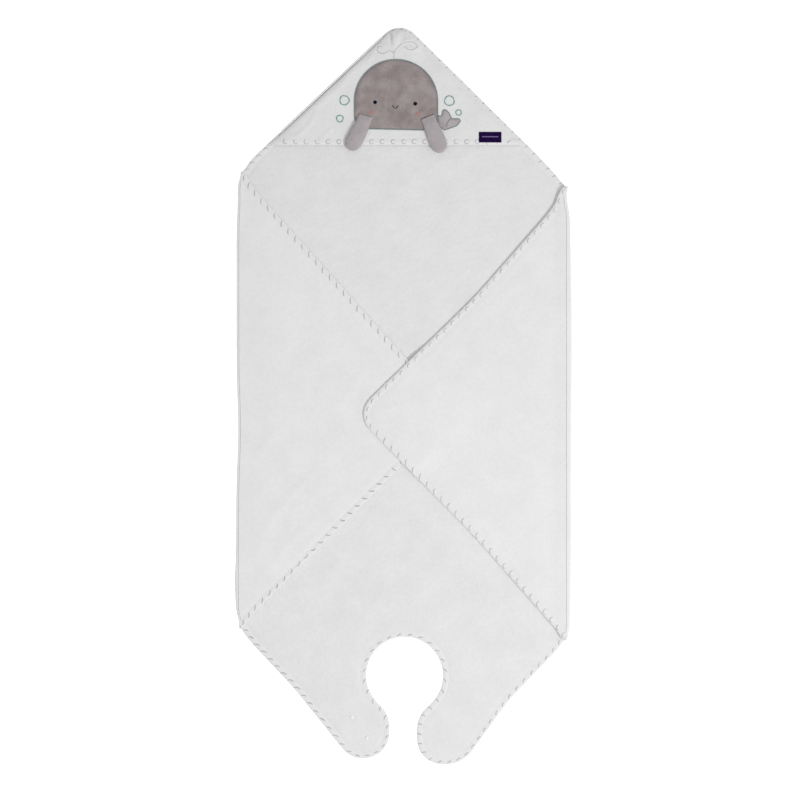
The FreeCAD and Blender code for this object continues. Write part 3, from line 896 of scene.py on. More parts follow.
def flat_size(loop):
    """A cut piece's width and length in metres, and its area in square metres."""
    x, y = loop.T
    area = abs(np.sum(x * np.roll(y, -1) - y * np.roll(x, -1))) / 2
    return (float(np.ptp(x)) * MM, float(np.ptp(y)) * MM), float(area) * MM * MM


def declare(piece, loop, with_pieces):
    flat, area = flat_size(loop)


def level_cloth(name, loop):
    """Cloth of the back or of a tab, lying face up."""
    def lower(points):
        return lift(*points.T) + np.maximum(outer_face(from_edges(level_edges, points)), 0)

    def upper(points):
        away = from_edges(level_edges, points)
        soft = ruffle(points, 30, 0.12) + 0.4 * crinkle(points, BACK_FOLDS)
        return lift(*points.T) + inner_face(away) + soft * swell(away)
    return make_sheet(name, loop, CELL, lower, upper, TERRY_BACK)


def flap_cloth(name, loop, height, edge, fold_x, folds):
    """A folded flap's cloth, outer face up."""
    def lower(points):
        return lift(*points.T) + height(points) - inner_face(from_edges([edge], points))

    def upper(points):
        away = from_edges([edge], points)
        calm = smooth_step(np.abs(points[:, 0] - fold_x) / 40) * swell(away)
        soft = ruffle(points, 30, 0.3) + crinkle(points, folds)
        return lift(*points.T) + height(points) - outer_face(away) + soft * calm
    return make_sheet(name, loop, CELL, lower, upper, TERRY_FLAP)


def fold_cloth(name, fold, side, top, bottom):
    """The cloth round a side fold: a half roll whose ends run from the back to the flap."""
    rows = int((top[0] - bottom[0]) / CELL) + 1
    turns = np.linspace(0, math.pi, ROLL_STEPS + 1)
    vertices = []
    for inner in (False, True):
        for row in range(rows + 1):
            t = row / rows
            for turn in turns:
                share = turn / math.pi
                high = top[0] + (top[1] - top[0]) * share
                low = bottom[0] + (bottom[1] - bottom[0]) * share
                y = low + (high - low) * t
                away = np.array([min(y - low, high - y)])
                n = inner_face(away)[0] if inner else outer_face(away)[0]
                vertices.append(roll_point(fold, side, turn, y, n))
    columns = len(turns)
    size = (rows + 1) * columns
    faces = []
    for row in range(rows):
        for k in range(columns - 1):
            a = row * columns + k
            quad = (a, a + 1, a + 1 + columns, a + columns)
            faces.append(quad if side < 0 else quad[::-1])
            inner = tuple(i + size for i in quad[::-1])
            faces.append(inner if side < 0 else inner[::-1])
    ring = list(range(columns)) + [r * columns + columns - 1 for r in range(1, rows + 1)]
    ring += [rows * columns + k for k in range(columns - 2, -1, -1)]
    ring += [r * columns for r in range(rows - 1, 0, -1)]
    for a, b in zip(ring, ring[1:] + ring[:1]):
        wall = (a, a + size, b + size, b)
        faces.append(wall if side < 0 else wall[::-1])
    return make_object(name, vertices, faces, TERRY_FLAP)


top_run = edges_of("top")
left_fold_run = np.array([top_run[-1], edges_of("left_lower")[0]])
right_fold_run = np.array([edges_of("right_lower")[-1], top_run[0]])
left_root_run = np.array([edges_of("left_tab")[0], edges_of("left_tab")[-1]])
right_root_run = np.array([edges_of("right_tab")[0], edges_of("right_tab")[-1]])

back_loop = loop_of(coarse(top_run), coarse(left_fold_run), coarse(edges_of("left_lower")),
                    coarse(left_root_run), coarse(edges_of("neck")), coarse(right_root_run),
                    coarse(edges_of("right_lower")), coarse(right_fold_run))
left_tab_loop = loop_of(coarse(edges_of("left_tab")), coarse(left_root_run[::-1]))
right_tab_loop = loop_of(coarse(edges_of("right_tab")), coarse(right_root_run[::-1]))
left_flap_run = edges_of("left_flap")
right_flap_run = edges_of("right_flap")
left_flap_loop = loop_of(coarse(left_flap_run[::-1]), coarse(left_flap_run[[0, -1]]))
right_flap_loop = loop_of(coarse(right_flap_run[::-1]), coarse(right_flap_run[[0, -1]]))

back_cloth = level_cloth("back_cloth", back_loop)
left_tab_cloth = level_cloth("left_tab_cloth", left_tab_loop)
right_tab_cloth = level_cloth("right_tab_cloth", right_tab_loop)
left_flap_cloth = flap_cloth("left_flap_cloth", left_flap_loop, left_height, left_flap_run, LEFT_FOLD[0],
                             LEFT_FLAP_FOLDS)
right_flap_cloth = flap_cloth("right_flap_cloth", right_flap_loop, right_height, right_flap_run,
                              RIGHT_FOLD[0], RIGHT_FLAP_FOLDS)
left_fold_cloth = fold_cloth("left_fold_cloth", LEFT_FOLD, -1, (top_run[-1][1], left_flap_run[0][1]),
                             (edges_of("left_lower")[0][1], left_flap_run[-1][1]))
right_fold_cloth = fold_cloth("right_fold_cloth", RIGHT_FOLD, 1, (top_run[0][1], right_flap_run[-1][1]),
                              (edges_of("right_lower")[-1][1], right_flap_run[0][1]))

tapes = {part: add_tape(part + "_tape", part) for part in edge_parts}

# the prints on each stretch of tape, as the cloth lies folded
PRINTS = {
    "top": changing((0, strokes(20, 8, 1.6, 2.6)), (0.5, strokes(40, 7, 1.6, 2.2)),
                    (1, strokes(10, 9, 1.5, 3.6, 1.2))),
    "left_flap": changing((0, strokes(90, 11.5, 2.0, 5.4, 0.3)), (0.62, strokes(90, 12, 2.0, 5.2)),
                          (0.66, strokes(180, 10, 2.4, 5.0)), (0.8, strokes(170, 10, 2.4, 5.0, 0.7)),
                          (0.86, strokes(250, 10, 2.2, 5.0, 0.7)), (1, strokes(260, 10, 2.4, 5.0))),
    "right_flap": changing((0, strokes(80, 9, 1.7, 4.6, 1.8)), (0.2, strokes(75, 10, 1.7, 4.6, 1.4)),
                           (0.36, strokes(80, 11, 1.9, 4.6, 0.5)), (0.5, strokes(75, 10, 1.8, 4.6)),
                           (0.6, strokes(70, 9, 1.6, 4.4, 1.2)), (1, strokes(75, 9, 1.6, 4.4, 1.3))),
    "left_lower": strokes(-12, 12, 2.1, 3.8, 0.6),
    "left_tab": changing((0, strokes(-25, 11, 2.1, 3.8)), (0.4, strokes(-10, 9, 2.0, 3.6)),
                         (0.6, strokes(55, 9, 2.0, 3.6)), (0.8, strokes(80, 9, 2.0, 3.6, 0.9)),
                         (1, strokes(60, 8, 2.0, 3.6))),
    "neck": changing((0, strokes(55, 9, 1.9, 3.8)), (0.5, strokes(20, 9, 2.0, 3.8)),
                     (1, strokes(-45, 9, 1.9, 3.8))),
    "right_tab": changing((0, strokes(-70, 8, 1.9, 3.6, 0.9)), (0.45, strokes(10, 9, 2.0, 3.6)),
                          (1, strokes(75, 10, 2.0, 3.8, 0.7))),
    "right_lower": strokes(70, 9, 1.9, 3.8, 0.9),
    "left_fold_top": strokes(90), "left_fold_bottom": strokes(90),
    "right_fold_top": strokes(90), "right_fold_bottom": strokes(90),
}
prints = {part: [add_marks(part + "_prints", part, PRINTS[part]),
                 add_marks(part + "_prints_outside", part, PRINTS[part], outer=True)]
          for part in edge_parts}

# --- the hood ---------------------------------------------------------------------
HOOD_TUCK_LEFT = 2.6     # the panel's sewn edge, inside the towel's cut edge and over the tape
HOOD_TUCK_RIGHT = 3.4
HOOD_FULL_LEFT = 12.0    # how far inside the cut edge the panel reaches its full height
HOOD_FULL_CORNER = 28.0  # and beside its hem and its tip at left
HOOD_FULL_RIGHT = 14.0
HEM_FULL_FROM = 8.0      # the corner fullness fades above the hem, over this reach
HEM_FULL_REACH = 45.0
TIP_FULL_Y = 575.0       # and comes back towards the tip from here, to this share
TIP_FULL_REACH = 35.0
TIP_FULL_SHARE = 0.8
WELT = [(-1.6, 0.2), (-1.9, 1.2), (-1.4, 2.5), (-0.4, 3.3), (0.6, 3.1), (1.4, 2.2), (1.6, 1.0),
        (1.3, 0.2)]
WELT_X = -27.0           # the rolled seam starts beside the hood's tip


def inset(run, distance):
    """A run moved to its left."""
    direction = np.gradient(run, axis=0)
    direction /= np.hypot(*direction.T)[:, None]
    return run + np.column_stack([-direction[:, 1], direction[:, 0]]) * distance


def straight_at(run, y):
    """The direction and a point of a run where it is straight, near a height y."""
    spot = np.argmin(np.abs(run[:, 1] - y))
    step = run[spot + 4] - run[spot - 4]
    return run[spot], step / np.hypot(*step)


peak = np.argmax(top_run[:, 1])
right_spot, right_way = straight_at(top_run[:peak], HEM_Y + 40)
left_spot, left_way = straight_at(top_run[peak:], HEM_Y + 40)
left_way = -left_way
cross = np.linalg.solve(np.column_stack([right_way, -left_way]), left_spot - right_spot)
apex = right_spot + right_way * cross[0]
middle_way = -(right_way + left_way)
middle_way /= np.hypot(*middle_way)


def leftness(x):
    """1 on the hood's left side, 0 on its right, changing across its tip."""
    return 1 - smooth_step((x + 25) / 50)


def hood_tuck(x):
    return HOOD_TUCK_RIGHT + (HOOD_TUCK_LEFT - HOOD_TUCK_RIGHT) * leftness(x)


def hood_rise(points):
    """How far the panel has risen from its sewn edge: steep at left and soft at right."""
    left = leftness(points[:, 0])
    tuck = hood_tuck(points[:, 0])
    y = points[:, 1]
    near_hem = 1 - smooth_step((y - HEM_Y - HEM_FULL_FROM) / HEM_FULL_REACH)
    corner = near_hem + TIP_FULL_SHARE * smooth_step((y - TIP_FULL_Y) / TIP_FULL_REACH)
    full_left = HOOD_FULL_LEFT + (HOOD_FULL_CORNER - HOOD_FULL_LEFT) * corner
    full = HOOD_FULL_RIGHT + (full_left - HOOD_FULL_RIGHT) * left
    t = np.clip((distance_to(top_run[::2], points) - tuck) / (full - tuck), 0, 1)
    return left * np.sqrt(1 - (1 - t) ** 2.2) + (1 - left) * smooth_step(t)


# Gathers at the hood's tip, where its two seams meet, and slack lines lower down.
HOOD_FOLDS = [((-3, 640), (-12, 612), -4, 5, 2.2), ((8, 634), (30, 606), 5, 4, 2.2),
              ((-2, 618), (26, 619), 5, 3, 2.1), ((12, 630), (42, 613), 4, 3, 1.7),
              ((-2, 607), (22, 604), 4, 3, 1.7), ((-38, 616), (-60, 585), -4, 4, 1.3),
              ((-95, 560), (-150, 508), 4, 6, 0.9), ((60, 580), (110, 520), -5, 7, 0.9),
              ((110, 520), (160, 470), -4, 6, 0.8),
              ((-150, 500), (-185, 455), 4, 5, 1.2), ((-125, 470), (-150, 445), 3, 4, 0.8)]
TIP_CREASE = ((-21.5, 643), (-19.0, 613))
CREASE_STEP = 5.6        # how far the cloth on the tuck's right stands up
CREASE_SPREAD = 20.0     # and how wide that stays
GROOVE_DEPTH = 3.2
GROOVE_ASIDE = 1.6       # the groove lies this far left of the step, and is this wide
GROOVE_WIDTH = 1.9


def tip_crease(points):
    """The sharp tuck at the hood's tip: the cloth on its right stands over the cloth on its left."""
    start, end = (np.array(p, float) for p in TIP_CREASE)
    length = np.hypot(*(end - start))
    way = (end - start) / length
    t = (points - start) @ way / length
    aside = (points - start) @ np.array([-way[1], way[0]])
    fade = smooth_step((t + 0.3) / 0.3) * (1 - smooth_step((t - 0.45) / 0.75))
    over = smooth_step((aside + 0.5) / 2.4) * np.exp(-np.maximum(aside, 0) / CREASE_SPREAD)
    groove = GROOVE_DEPTH * np.exp(-((aside + GROOVE_ASIDE) / GROOVE_WIDTH) ** 2)
    return fade * (CREASE_STEP * over - groove)


HOOD_SEAM_LOW = 4.35     # the panel's underside at its sewn edge, on the tape
HOOD_FREE_LOW = 8.6      # and where it has risen
HOOD_SEAM_CLOTH = 1.2    # the panel's thickness at its sewn edge
HOOD_LOFT = 1.9          # and how much thicker it is where it has risen


def hood_low(points):
    return lift(*points.T) + HOOD_SEAM_LOW + (HOOD_FREE_LOW - HOOD_SEAM_LOW) * hood_rise(points)


def hood_high(points):
    rise = hood_rise(points)
    soft = crinkle(points, HOOD_FOLDS) + tip_crease(points) + ruffle(points, 34, 0.5, 21)
    return hood_low(points) + HOOD_SEAM_CLOTH + HOOD_LOFT * rise + soft * rise


def split_loop(loop, origin, way):
    """The parts of a closed loop left and right of a line, as open runs with their ends on the line."""
    aside = (loop - origin) @ np.array([way[1], -way[0]])
    ahead = np.roll(aside, -1)
    crossings = [i for i in range(len(loop)) if (aside[i] > 0) != (ahead[i] > 0)]
    runs = []
    for a, b in (crossings, crossings[::-1]):
        def at(i):
            t = aside[i] / (aside[i] - ahead[i])
            return loop[i] + (np.roll(loop, -1, axis=0)[i] - loop[i]) * t
        count = (b - a) % len(loop)
        ids = (np.arange(1, count + 1) + a) % len(loop)
        runs.append(np.vstack([at(a), loop[ids], at(b)]))
    middles = [run[len(run) // 2] for run in runs]
    left, right = (0, 1) if middles[0][0] < middles[1][0] else (1, 0)
    return runs[left], runs[right]


def halves(loop, cell):
    """A closed loop's left and right halves as closed loops with the same points on the middle line."""
    result = []
    for run in split_loop(loop, apex, middle_way):
        line = np.array([run[-1], run[0]])
        result.append(loop_of(resample(run, cell), resample(line, cell)))
    return result


def with_hood(piece, side):
    """Bake a piece of the hood's left or right half where it lies."""
    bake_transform(piece)



seam_run = inset(top_run, hood_tuck(top_run[:, :1]))
above = seam_run[seam_run[:, 1] > HEM_Y]


def meet_hem(a, b):
    t = (HEM_Y - a[1]) / (b[1] - a[1])
    return a + (b - a) * t


first = np.argmax(seam_run[:, 1] > HEM_Y)
last = len(seam_run) - 1 - np.argmax(seam_run[::-1, 1] > HEM_Y)
hood_arc = np.vstack([meet_hem(seam_run[first - 1], seam_run[first]), above,
                      meet_hem(seam_run[last], seam_run[last + 1])])
HOOD_CELL = 2.4
hood_loop = loop_of(resample(hood_arc, 3), resample(hood_arc[[-1, 0]], 3))
hood_sides = {}
for side, loop in zip(("left", "right"), halves(hood_loop, HOOD_CELL)):
    cloth = make_sheet(side + "_hood_cloth", loop, HOOD_CELL, hood_low, hood_high, TERRY_BACK)
    hood_sides[side] = (cloth, loop)


def add_welt():
    """The rolled seam down the hood's left edge, on the edge tape."""
    run = inset(top_run, 0.5)
    run = run[(run[:, 0] < WELT_X) & (run[:, 1] > HEM_Y + 3)]
    along = np.linspace(0, 1, len(run))
    sizes = np.clip(smooth_step(along / 0.08) * smooth_step((1 - along) / 0.15), 0.15, 1)
    places = np.column_stack([run, lift(*run.T) + HOOD_SEAM_LOW])
    ups = np.tile([0.0, 0.0, 1.0], (len(run), 1))
    _, across = frames(places, ups)
    return outward(sweep("left_hood_welt", places, across, ups,
                         lambda k: [(s * sizes[k], n * sizes[k]) for s, n in WELT], TERRY_BACK))


welt = add_welt()


def hem_part(side):
    """The hem's stations from left to right, in one half of the hood."""
    ends = sorted(hood_arc[[0, -1]].tolist())
    t = (HEM_Y - apex[1]) / middle_way[1]
    middle = apex + middle_way * t
    a, b = (ends[0], middle) if side == "left" else (middle, ends[1])
    run = resample(np.array([a, b]), TAPE_STEP)
    run[:, 1] = HEM_Y + 0.8
    return run


HEM_TAPE_CLOTH = 0.4


def hem_section(rise):
    """The hem tape's cross-section, (inward, up): its outer skin, then its inner one."""
    top = HOOD_SEAM_CLOTH + HOOD_LOFT * rise + HEM_TAPE_CLOTH
    return [
        (TAPE, -0.25), (4.0, -0.45), (1.0, -0.4), (-0.7, 0.3), (-0.8, top - 1.0), (0.0, top - 0.2),
        (4.0, top + 0.1), (TAPE - 2, top - 0.1), (TAPE, top - 0.5),
        (TAPE, top - 0.9), (1.0, top - 0.7), (0.1, top / 2), (1.0, 0.1), (TAPE, 0.1),
    ]


HEM_PITCH = 18.4
HEM_SLANT = 40.0         # the hem's ends follow the hood's edges, over this length


def add_hem(side):
    run = hem_part(side)
    rises = hood_rise(run)
    places = np.column_stack([run, hood_low(run)])
    ups = np.tile([0.0, 0.0, 1.0], (len(run), 1))
    way = left_way if side == "left" else right_way
    reach = np.abs(run[:, 0] - (run[0, 0] if side == "left" else run[-1, 0]))
    slant = way[0] / way[1] * (1 - smooth_step(reach / HEM_SLANT))
    inward = np.column_stack([slant, np.ones(len(run)), np.zeros(len(run))])
    return sweep(side + "_hem_tape", places, inward, ups, lambda k: hem_section(rises[k]), TAPE_CLOTH)


def add_hem_marks(side, style):
    run = hem_part(side)
    rises = hood_rise(run)
    low = hood_low(run)
    x = run[:, 0]
    length = np.ptp(x)
    count = int(round(length / HEM_PITCH))

    def surface(u, s, height):
        place = x[0] + u
        skin = hem_section(np.interp(place, x, rises))[3:9]
        n = np.interp(s, [p[0] for p in skin], [p[1] for p in skin]) + height
        return np.array([place, run[0][1] + s, np.interp(place, x, low) + n])

    patches = []
    for number in range(count):
        u = (number + 0.5) * length / count
        if min(u, length - u) < TAPE and (side == "left") == (u < length / 2):
            continue
        size, bend, direction, width, across = style(u / length, number)
        spots = print_spots(crescent(size, bend, width), chord_basis(direction), (u, across), length,
                            -0.5, TAPE - 0.4)
        patches.append(mark_patch(spots, surface))
    return prints_object(side + "_hem_prints", patches)


C_SHAPE = strokes(90, 8.2, 1.6, 5.2, 2.7)
SLANTED = strokes(40, 9, 1.7, 5.0, 0.7)
hems = {}
for side, style in (("left", changing((0, strokes(140, 9, 1.7, 5.0, 0.9)), (0.25, C_SHAPE))),
                    ("right", changing((0.6, C_SHAPE), (0.8, SLANTED)))):
    hems[side] = (add_hem(side), add_hem_marks(side, style))


# --- the whale -----------------------------------------------------------------------
def islands(node):
    """The separate solids of a node, each as its low and high corners."""
    mesh = frame["nodes"][node].data
    keys = [tuple(round(c, 5) for c in vertex.co) for vertex in mesh.vertices]
    parent = {key: key for key in keys}

    def root(key):
        while parent[key] != key:
            key = parent[key]
        return key
    for face in mesh.polygons:
        anchor = root(keys[face.vertices[0]])
        for i in face.vertices[1:]:
            parent[root(keys[i])] = anchor
    groups = {}
    for key in parent:
        groups.setdefault(root(key), []).append(key)
    solids = [np.array(group) / MM for group in groups.values()]
    solids = [(solid.min(axis=0), solid.max(axis=0)) for solid in solids]
    return sorted(solids, key=lambda solid: solid[0][0])


def round_spots(node):
    """The centres and radii of a node's round solids, from left to right."""
    return [((low + high)[:2] / 2, (high - low)[0] / 2) for low, high in islands(node)]


def side_of(x):
    return "left" if x < apex[0] else "right"


PUFF = 2.4
PLUSH_SUNK = 0.4         # how far the plush reaches into the hood's face
face_rim = even(closed(rim("whale_face")), 2.0, 4)[:-1]


def face_high(points):
    away = distance_to(closed(face_rim), points)
    x, y = points.T
    nap = 0.28 * wander(x, y, 9, 31) + 0.22 * wander(x, y, 24, 33)
    return hood_high(points) + 0.1 + PUFF * (1 - np.exp(-away / 3.0)) + nap * smooth_step(away / 6)


whale_sides = {}
for side, loop in zip(("left", "right"), halves(face_rim, FINE)):
    piece = make_sheet(side + "_whale_face", loop, FINE, lambda p: hood_high(p) - PLUSH_SUNK,
                       face_high, WHALE)
    whale_sides[side] = (piece, loop)


def stitched_line(name, run, radius, material, height=0.5, on=hood_high, ribs=0.22, step=0.7):
    """A row of satin stitches along a run on the hood."""
    run = resample(run, step)
    places = np.column_stack([run, on(run) + height])
    return tube(name, places, radius, material, 8, 0.8, ribs, 1.5)


outline_sides = {}
for side, run in zip(("left", "right"), split_loop(face_rim, apex, middle_way)):
    outline_sides[side] = stitched_line(side + "_face_outline", run, 0.9, TEAL, 0.9)


def satin_spot(name, centre, radius, material, on, height, angle, tall):
    """A filled spot of close satin stitches lying side by side."""
    pitch = 0.8
    threads = []
    turn = np.array([[math.cos(math.radians(angle)), -math.sin(math.radians(angle))],
                     [math.sin(math.radians(angle)), math.cos(math.radians(angle))]])
    for number, across in enumerate(np.arange(-radius + pitch / 2, radius, pitch)):
        reach = math.sqrt(max(radius ** 2 - across ** 2, 0.05)) + 0.15 * math.sin(number * 2.1)
        line = np.column_stack([np.full(7, across), np.linspace(-reach, reach, 7)])
        line = line @ turn.T + centre
        arch = tall * np.sqrt(np.clip(1 - (np.linspace(-1, 1, 7)) ** 2, 0, 1)) * (reach / radius)
        places = np.column_stack([line, on(line) + height + arch])
        threads.append(tube(f"{name}_{number}", places, 0.48, material, 6))
    return join(name, threads)


eyes = [satin_spot(f"eye_{k}", centre, radius, NAVY, face_high, 0.0, 10, 0.9)
        for k, (centre, radius) in enumerate(round_spots("eye_stitches"))]
cheeks = [satin_spot(f"cheek_{k}", centre, radius, CORAL, face_high, -0.1, 70, 0.35)
          for k, (centre, radius) in enumerate(round_spots("cheek_stitches"))]

mouth_low = cad_low("mouth_stitch")
mouth_high = cad_high("mouth_stitch")
MOUTH_INSET = 0.7


def mouth_run():
    """A small smile: two short arcs meeting in a point."""
    left = mouth_low[0] + MOUTH_INSET
    right = mouth_high[0] - MOUTH_INSET
    top = mouth_high[1] - MOUTH_INSET
    bottom = mouth_low[1] + MOUTH_INSET
    t = np.linspace(0, 1, 12)
    x = left + (right - left) * t
    return np.column_stack([x, top - (top - bottom) * np.sin(t * math.pi) ** 0.8])


mouth = stitched_line("mouth", mouth_run(), 0.65, NAVY, 0.25, face_high, 0.15, 0.5)


def bubble(name, centre, radius, seed):
    """An embroidered bubble: two uneven strokes of thread round a circle."""
    strokes = []
    for layer in (0, 1):
        turn = np.linspace(0, 2 * math.pi * (1.0 if layer else 0.93), 60) + seed + layer * 2.0
        wobble = 1 + 0.035 * np.sin(turn * 3 + seed) + 0.025 * np.sin(turn * 5 + layer * 2 + seed)
        reach = (radius - 0.9 - 0.55 * layer) * wobble
        ring = np.column_stack([np.cos(turn) * reach, np.sin(turn) * reach]) + centre
        places = np.column_stack([ring, hood_high(ring) + 0.5])
        strokes.append(tube(f"{name}_{layer}", places, 0.62, BUBBLE_TEAL, 6, 0.8, 0.2, 1.5))
    return join(name, strokes)


bubbles = [(bubble(f"bubble_{k}", centre, radius, k * 1.7), side_of(centre[0]))
           for k, (centre, radius) in enumerate(round_spots("bubble_stitches"))]

tail_rim = even(closed(rim("whale_tail")), 1.0, 2)[:-1]


def tail_high(points):
    away = distance_to(closed(tail_rim), points)
    x, y = points.T
    return hood_high(points) + 0.1 + 1.5 * (1 - np.exp(-away / 2.0)) + 0.15 * wander(x, y, 7, 41)


TAIL_CELL = 1.6
tail = make_sheet("whale_tail_plush", resample(closed(tail_rim), TAIL_CELL)[:-1], TAIL_CELL,
                  lambda p: hood_high(p) - PLUSH_SUNK, tail_high, TAIL)
TAIL_CLEFT = [(84.6, 485.6), (79.5, 481.0), (76.5, 475.0), (76.0, 471.0)]
tail_outline = join("tail_outline", [
    stitched_line("tail_rim", np.vstack([tail_rim, tail_rim[:2]]), 0.8, TEAL, 0.6),
    stitched_line("tail_cleft", np.array(TAIL_CLEFT), 0.7, TEAL, 0.3, tail_high),
])

label_low = cad_low("woven_label")
label_high = cad_high("woven_label")


def label_base(points):
    """The hood's face, or the hem tape's where the label lies over it."""
    on_tape = 1 - smooth_step((points[:, 1] - HEM_Y - TAPE + 1) / 3)
    return hood_high(points) + 0.75 * on_tape


def label_sheet(name, low, high, material, x_from=0.0, x_to=1.0, y_from=0.0, y_to=1.0):
    width, length = (label_high - label_low)[:2]
    x0 = label_low[0] + width * x_from
    x1 = label_low[0] + width * x_to
    y0 = label_low[1] + length * y_from
    y1 = label_low[1] + length * y_to
    box = np.array([(x0, y0), (x1, y0), (x1, y1), (x0, y1), (x0, y0)])
    loop = np.vstack([resample(box[k:k + 2], 1.5)[:-1] for k in range(4)])
    return make_sheet(name, loop, 1.5, lambda p: label_base(p) + low, lambda p: label_base(p) + high,
                      material)


label = label_sheet("label_cloth", 0.1, 0.65, LABEL)
stripe = label_sheet("label_stripe", 0.4, 0.78, LABEL_STRIPE, 0.14, 0.86, 0.50, 0.59)

SPOUT_THREAD = 0.7
SPOUT_STEM = (-16.0, 588.5)
SPOUT_FORK = (-16.0, 599.0)


def curl(points):
    """A smooth run through a few given points."""
    points = np.array(points, float)
    t = np.arange(len(points))
    fine = np.linspace(0, len(points) - 1, 8 * len(points))
    result = []
    for value in fine:
        k = min(int(value), len(points) - 2)
        p0, p1, p2, p3 = (points[min(max(i, 0), len(points) - 1)] for i in (k - 1, k, k + 1, k + 2))
        f = value - k
        result.append(0.5 * (2 * p1 + (p2 - p0) * f + (2 * p0 - 5 * p1 + 4 * p2 - p3) * f ** 2
                             + (3 * p1 - p0 - 3 * p2 + p3) * f ** 3))
    return np.array(result)


SPOUT_LEFT = [SPOUT_STEM, SPOUT_FORK, (-23, 603.5), (-31, 599.5), (-39, 599), (-45, 605), (-42, 611),
              (-36, 610)]
SPOUT_RIGHT = [SPOUT_FORK, (-10.5, 608), (-3, 615), (8, 619), (19, 618), (25, 611), (18, 605.5),
               (9, 606), (4, 610)]
spout = join("spout_thread", [stitched_line(f"spout_{k}", curl(points), SPOUT_THREAD, PALE, 0.35)
                              for k, points in enumerate((SPOUT_LEFT, SPOUT_RIGHT))])

# --- the flippers ---------------------------------------------------------------------
FLIPPER_LENGTH = 67.0
ROOT_HALF = 12.3
END_HALF = 14.8
FLIPPER_RAISE = 1.6       # the pad's middle over its joint
ROUND_FROM = 0.70         # the pad narrows towards its round end beyond this share of its length
ROOT_SKEW = {"left": 0.13, "right": 0.0}     # how far the sewn end is from square
END_SWAY = {"left": 2.6, "right": 0.0}       # how far the round end lies outward


def flipper(side):
    """A small padded pad sewn at its root, as a closed pillow with a seam round its edge."""
    origin = joint_place(side + "_flipper_swing")
    axis = joint_axis(side + "_flipper_swing")
    across = axis[:2] / np.hypot(*axis[:2])
    along = np.array([across[1], -across[0]])
    if along @ (cad_middle(side + "_flipper_wadding") - origin)[:2] < 0:
        along = -along
    outward_way = 1 if across[0] * (origin[0] - apex[0]) > 0 else -1
    stations = 40
    columns = 18
    vertices = []
    rings = []
    for k in range(stations + 1):
        u = k / stations
        reach = u * FLIPPER_LENGTH
        half = ROOT_HALF + (END_HALF - ROOT_HALF) * float(smooth_step(u * 1.6))
        if u > ROUND_FROM:
            v = (u - ROUND_FROM) / (1 - ROUND_FROM)
            half *= math.sqrt(max(1 - v ** 2.4, 0.0006))
        thick = 6.6 * float(smooth_step(u * 4.5)) ** 0.7 + 1.4
        thick *= min(1.0, half / END_HALF * 1.25)
        ring = []
        for j in range(columns):
            turn = j / columns * 2 * math.pi
            w = math.cos(turn)
            up = math.sin(turn)
            bulge = abs(up) ** 0.8 * (1 if up > 0 else -0.35)
            crease = 0.35 * math.sin(u * 21 + w * 2.2) * abs(up) * math.exp(-u * 5)
            nap = 0.25 * noise.noise(Vector((u * 9 + (side == "left") * 7, w * 3, up)))
            skew = ROOT_SKEW[side] * w * half * (1 - u) ** 2
            sway = END_SWAY[side] * u ** 2 * outward_way
            p = origin[:2] + along * (reach + skew) + across * (w * half + sway)
            z = origin[2] + FLIPPER_RAISE + thick * 0.72 * bulge + crease + nap
            ring.append(len(vertices))
            vertices.append((p[0], p[1], z))
        rings.append(ring)
    faces = []
    for a, b in zip(rings, rings[1:]):
        for j in range(columns):
            faces.append((a[j], a[(j + 1) % columns], b[(j + 1) % columns], b[j]))
    faces.append(tuple(rings[0])[::-1])
    faces.append(tuple(rings[-1]))
    piece = make_object(side + "_flipper", vertices, faces, FLIPPER)
    seam = []
    for w in np.linspace(-1, 1, 24):
        p = origin[:2] + across * w * (ROOT_HALF - 0.8) + along * (1.2 + ROOT_SKEW[side] * w * ROOT_HALF)
        seam.append((p[0], p[1], origin[2] + FLIPPER_RAISE + 1.0 * math.sqrt(max(1 - w * w, 0)) + 0.1))
    root_seam = tube(side + "_flipper_seam", resample(np.array(seam), 0.6), 0.5, MAUVE, 6, 0.8, 0.2, 1.6)
    return piece, root_seam


flippers = {side: flipper(side) for side in ("left", "right")}


# --- the press studs --------------------------------------------------------------------
def turned(name, centre, profile, z, material, up=1, segments=32):
    """A part turned about a vertical axis, from (radius, height) pairs; ends closed."""
    vertices = []
    for radius, height in profile:
        for k in range(segments):
            turn = k / segments * 2 * math.pi
            vertices.append((centre[0] + radius * math.cos(turn), centre[1] + radius * math.sin(turn),
                             z + up * height))
    faces = []
    for ring in range(len(profile) - 1):
        for k in range(segments):
            a = ring * segments + k
            b = ring * segments + (k + 1) % segments
            quad = (a, b, b + segments, a + segments)
            faces.append(quad if up > 0 else quad[::-1])
    bottom = tuple(range(segments))
    top = tuple(range(len(profile) * segments - segments, len(profile) * segments))
    faces.append(bottom[::-1] if up > 0 else bottom)
    faces.append(top if up > 0 else top[::-1])
    return make_object(name, vertices, faces, material)


def fastener(node, name, profile_of, up):
    parts = []
    for k, (low, high) in enumerate(islands(node)):
        centre = (low + high)[:2] / 2
        radius = (high - low)[0] / 2
        z = low[2] if up > 0 else high[2]
        parts.append(turned(f"{name}_{k}", centre, profile_of(radius, high[2] - low[2]), z, SNAP, up))
    return join(name, parts)


def stud_profile(radius, height):
    knob = 2.6
    return [(radius - 0.3, 0), (radius, 0.25), (radius, 0.55), (radius - 0.4, 0.85), (radius - 1.2, 0.8),
            (knob + 0.6, 0.7), (knob - 0.2, 0.9), (knob - 0.3, 1.4), (knob, 2.0), (knob - 0.2, height - 0.3),
            (knob - 0.9, height), (0.3, height)]


def cap_profile(radius, height):
    return [(radius - 0.2, 0), (radius, height * 0.3), (radius - 0.3, height * 0.7), (radius - 1.2, height),
            (0.4, height * 0.92)]


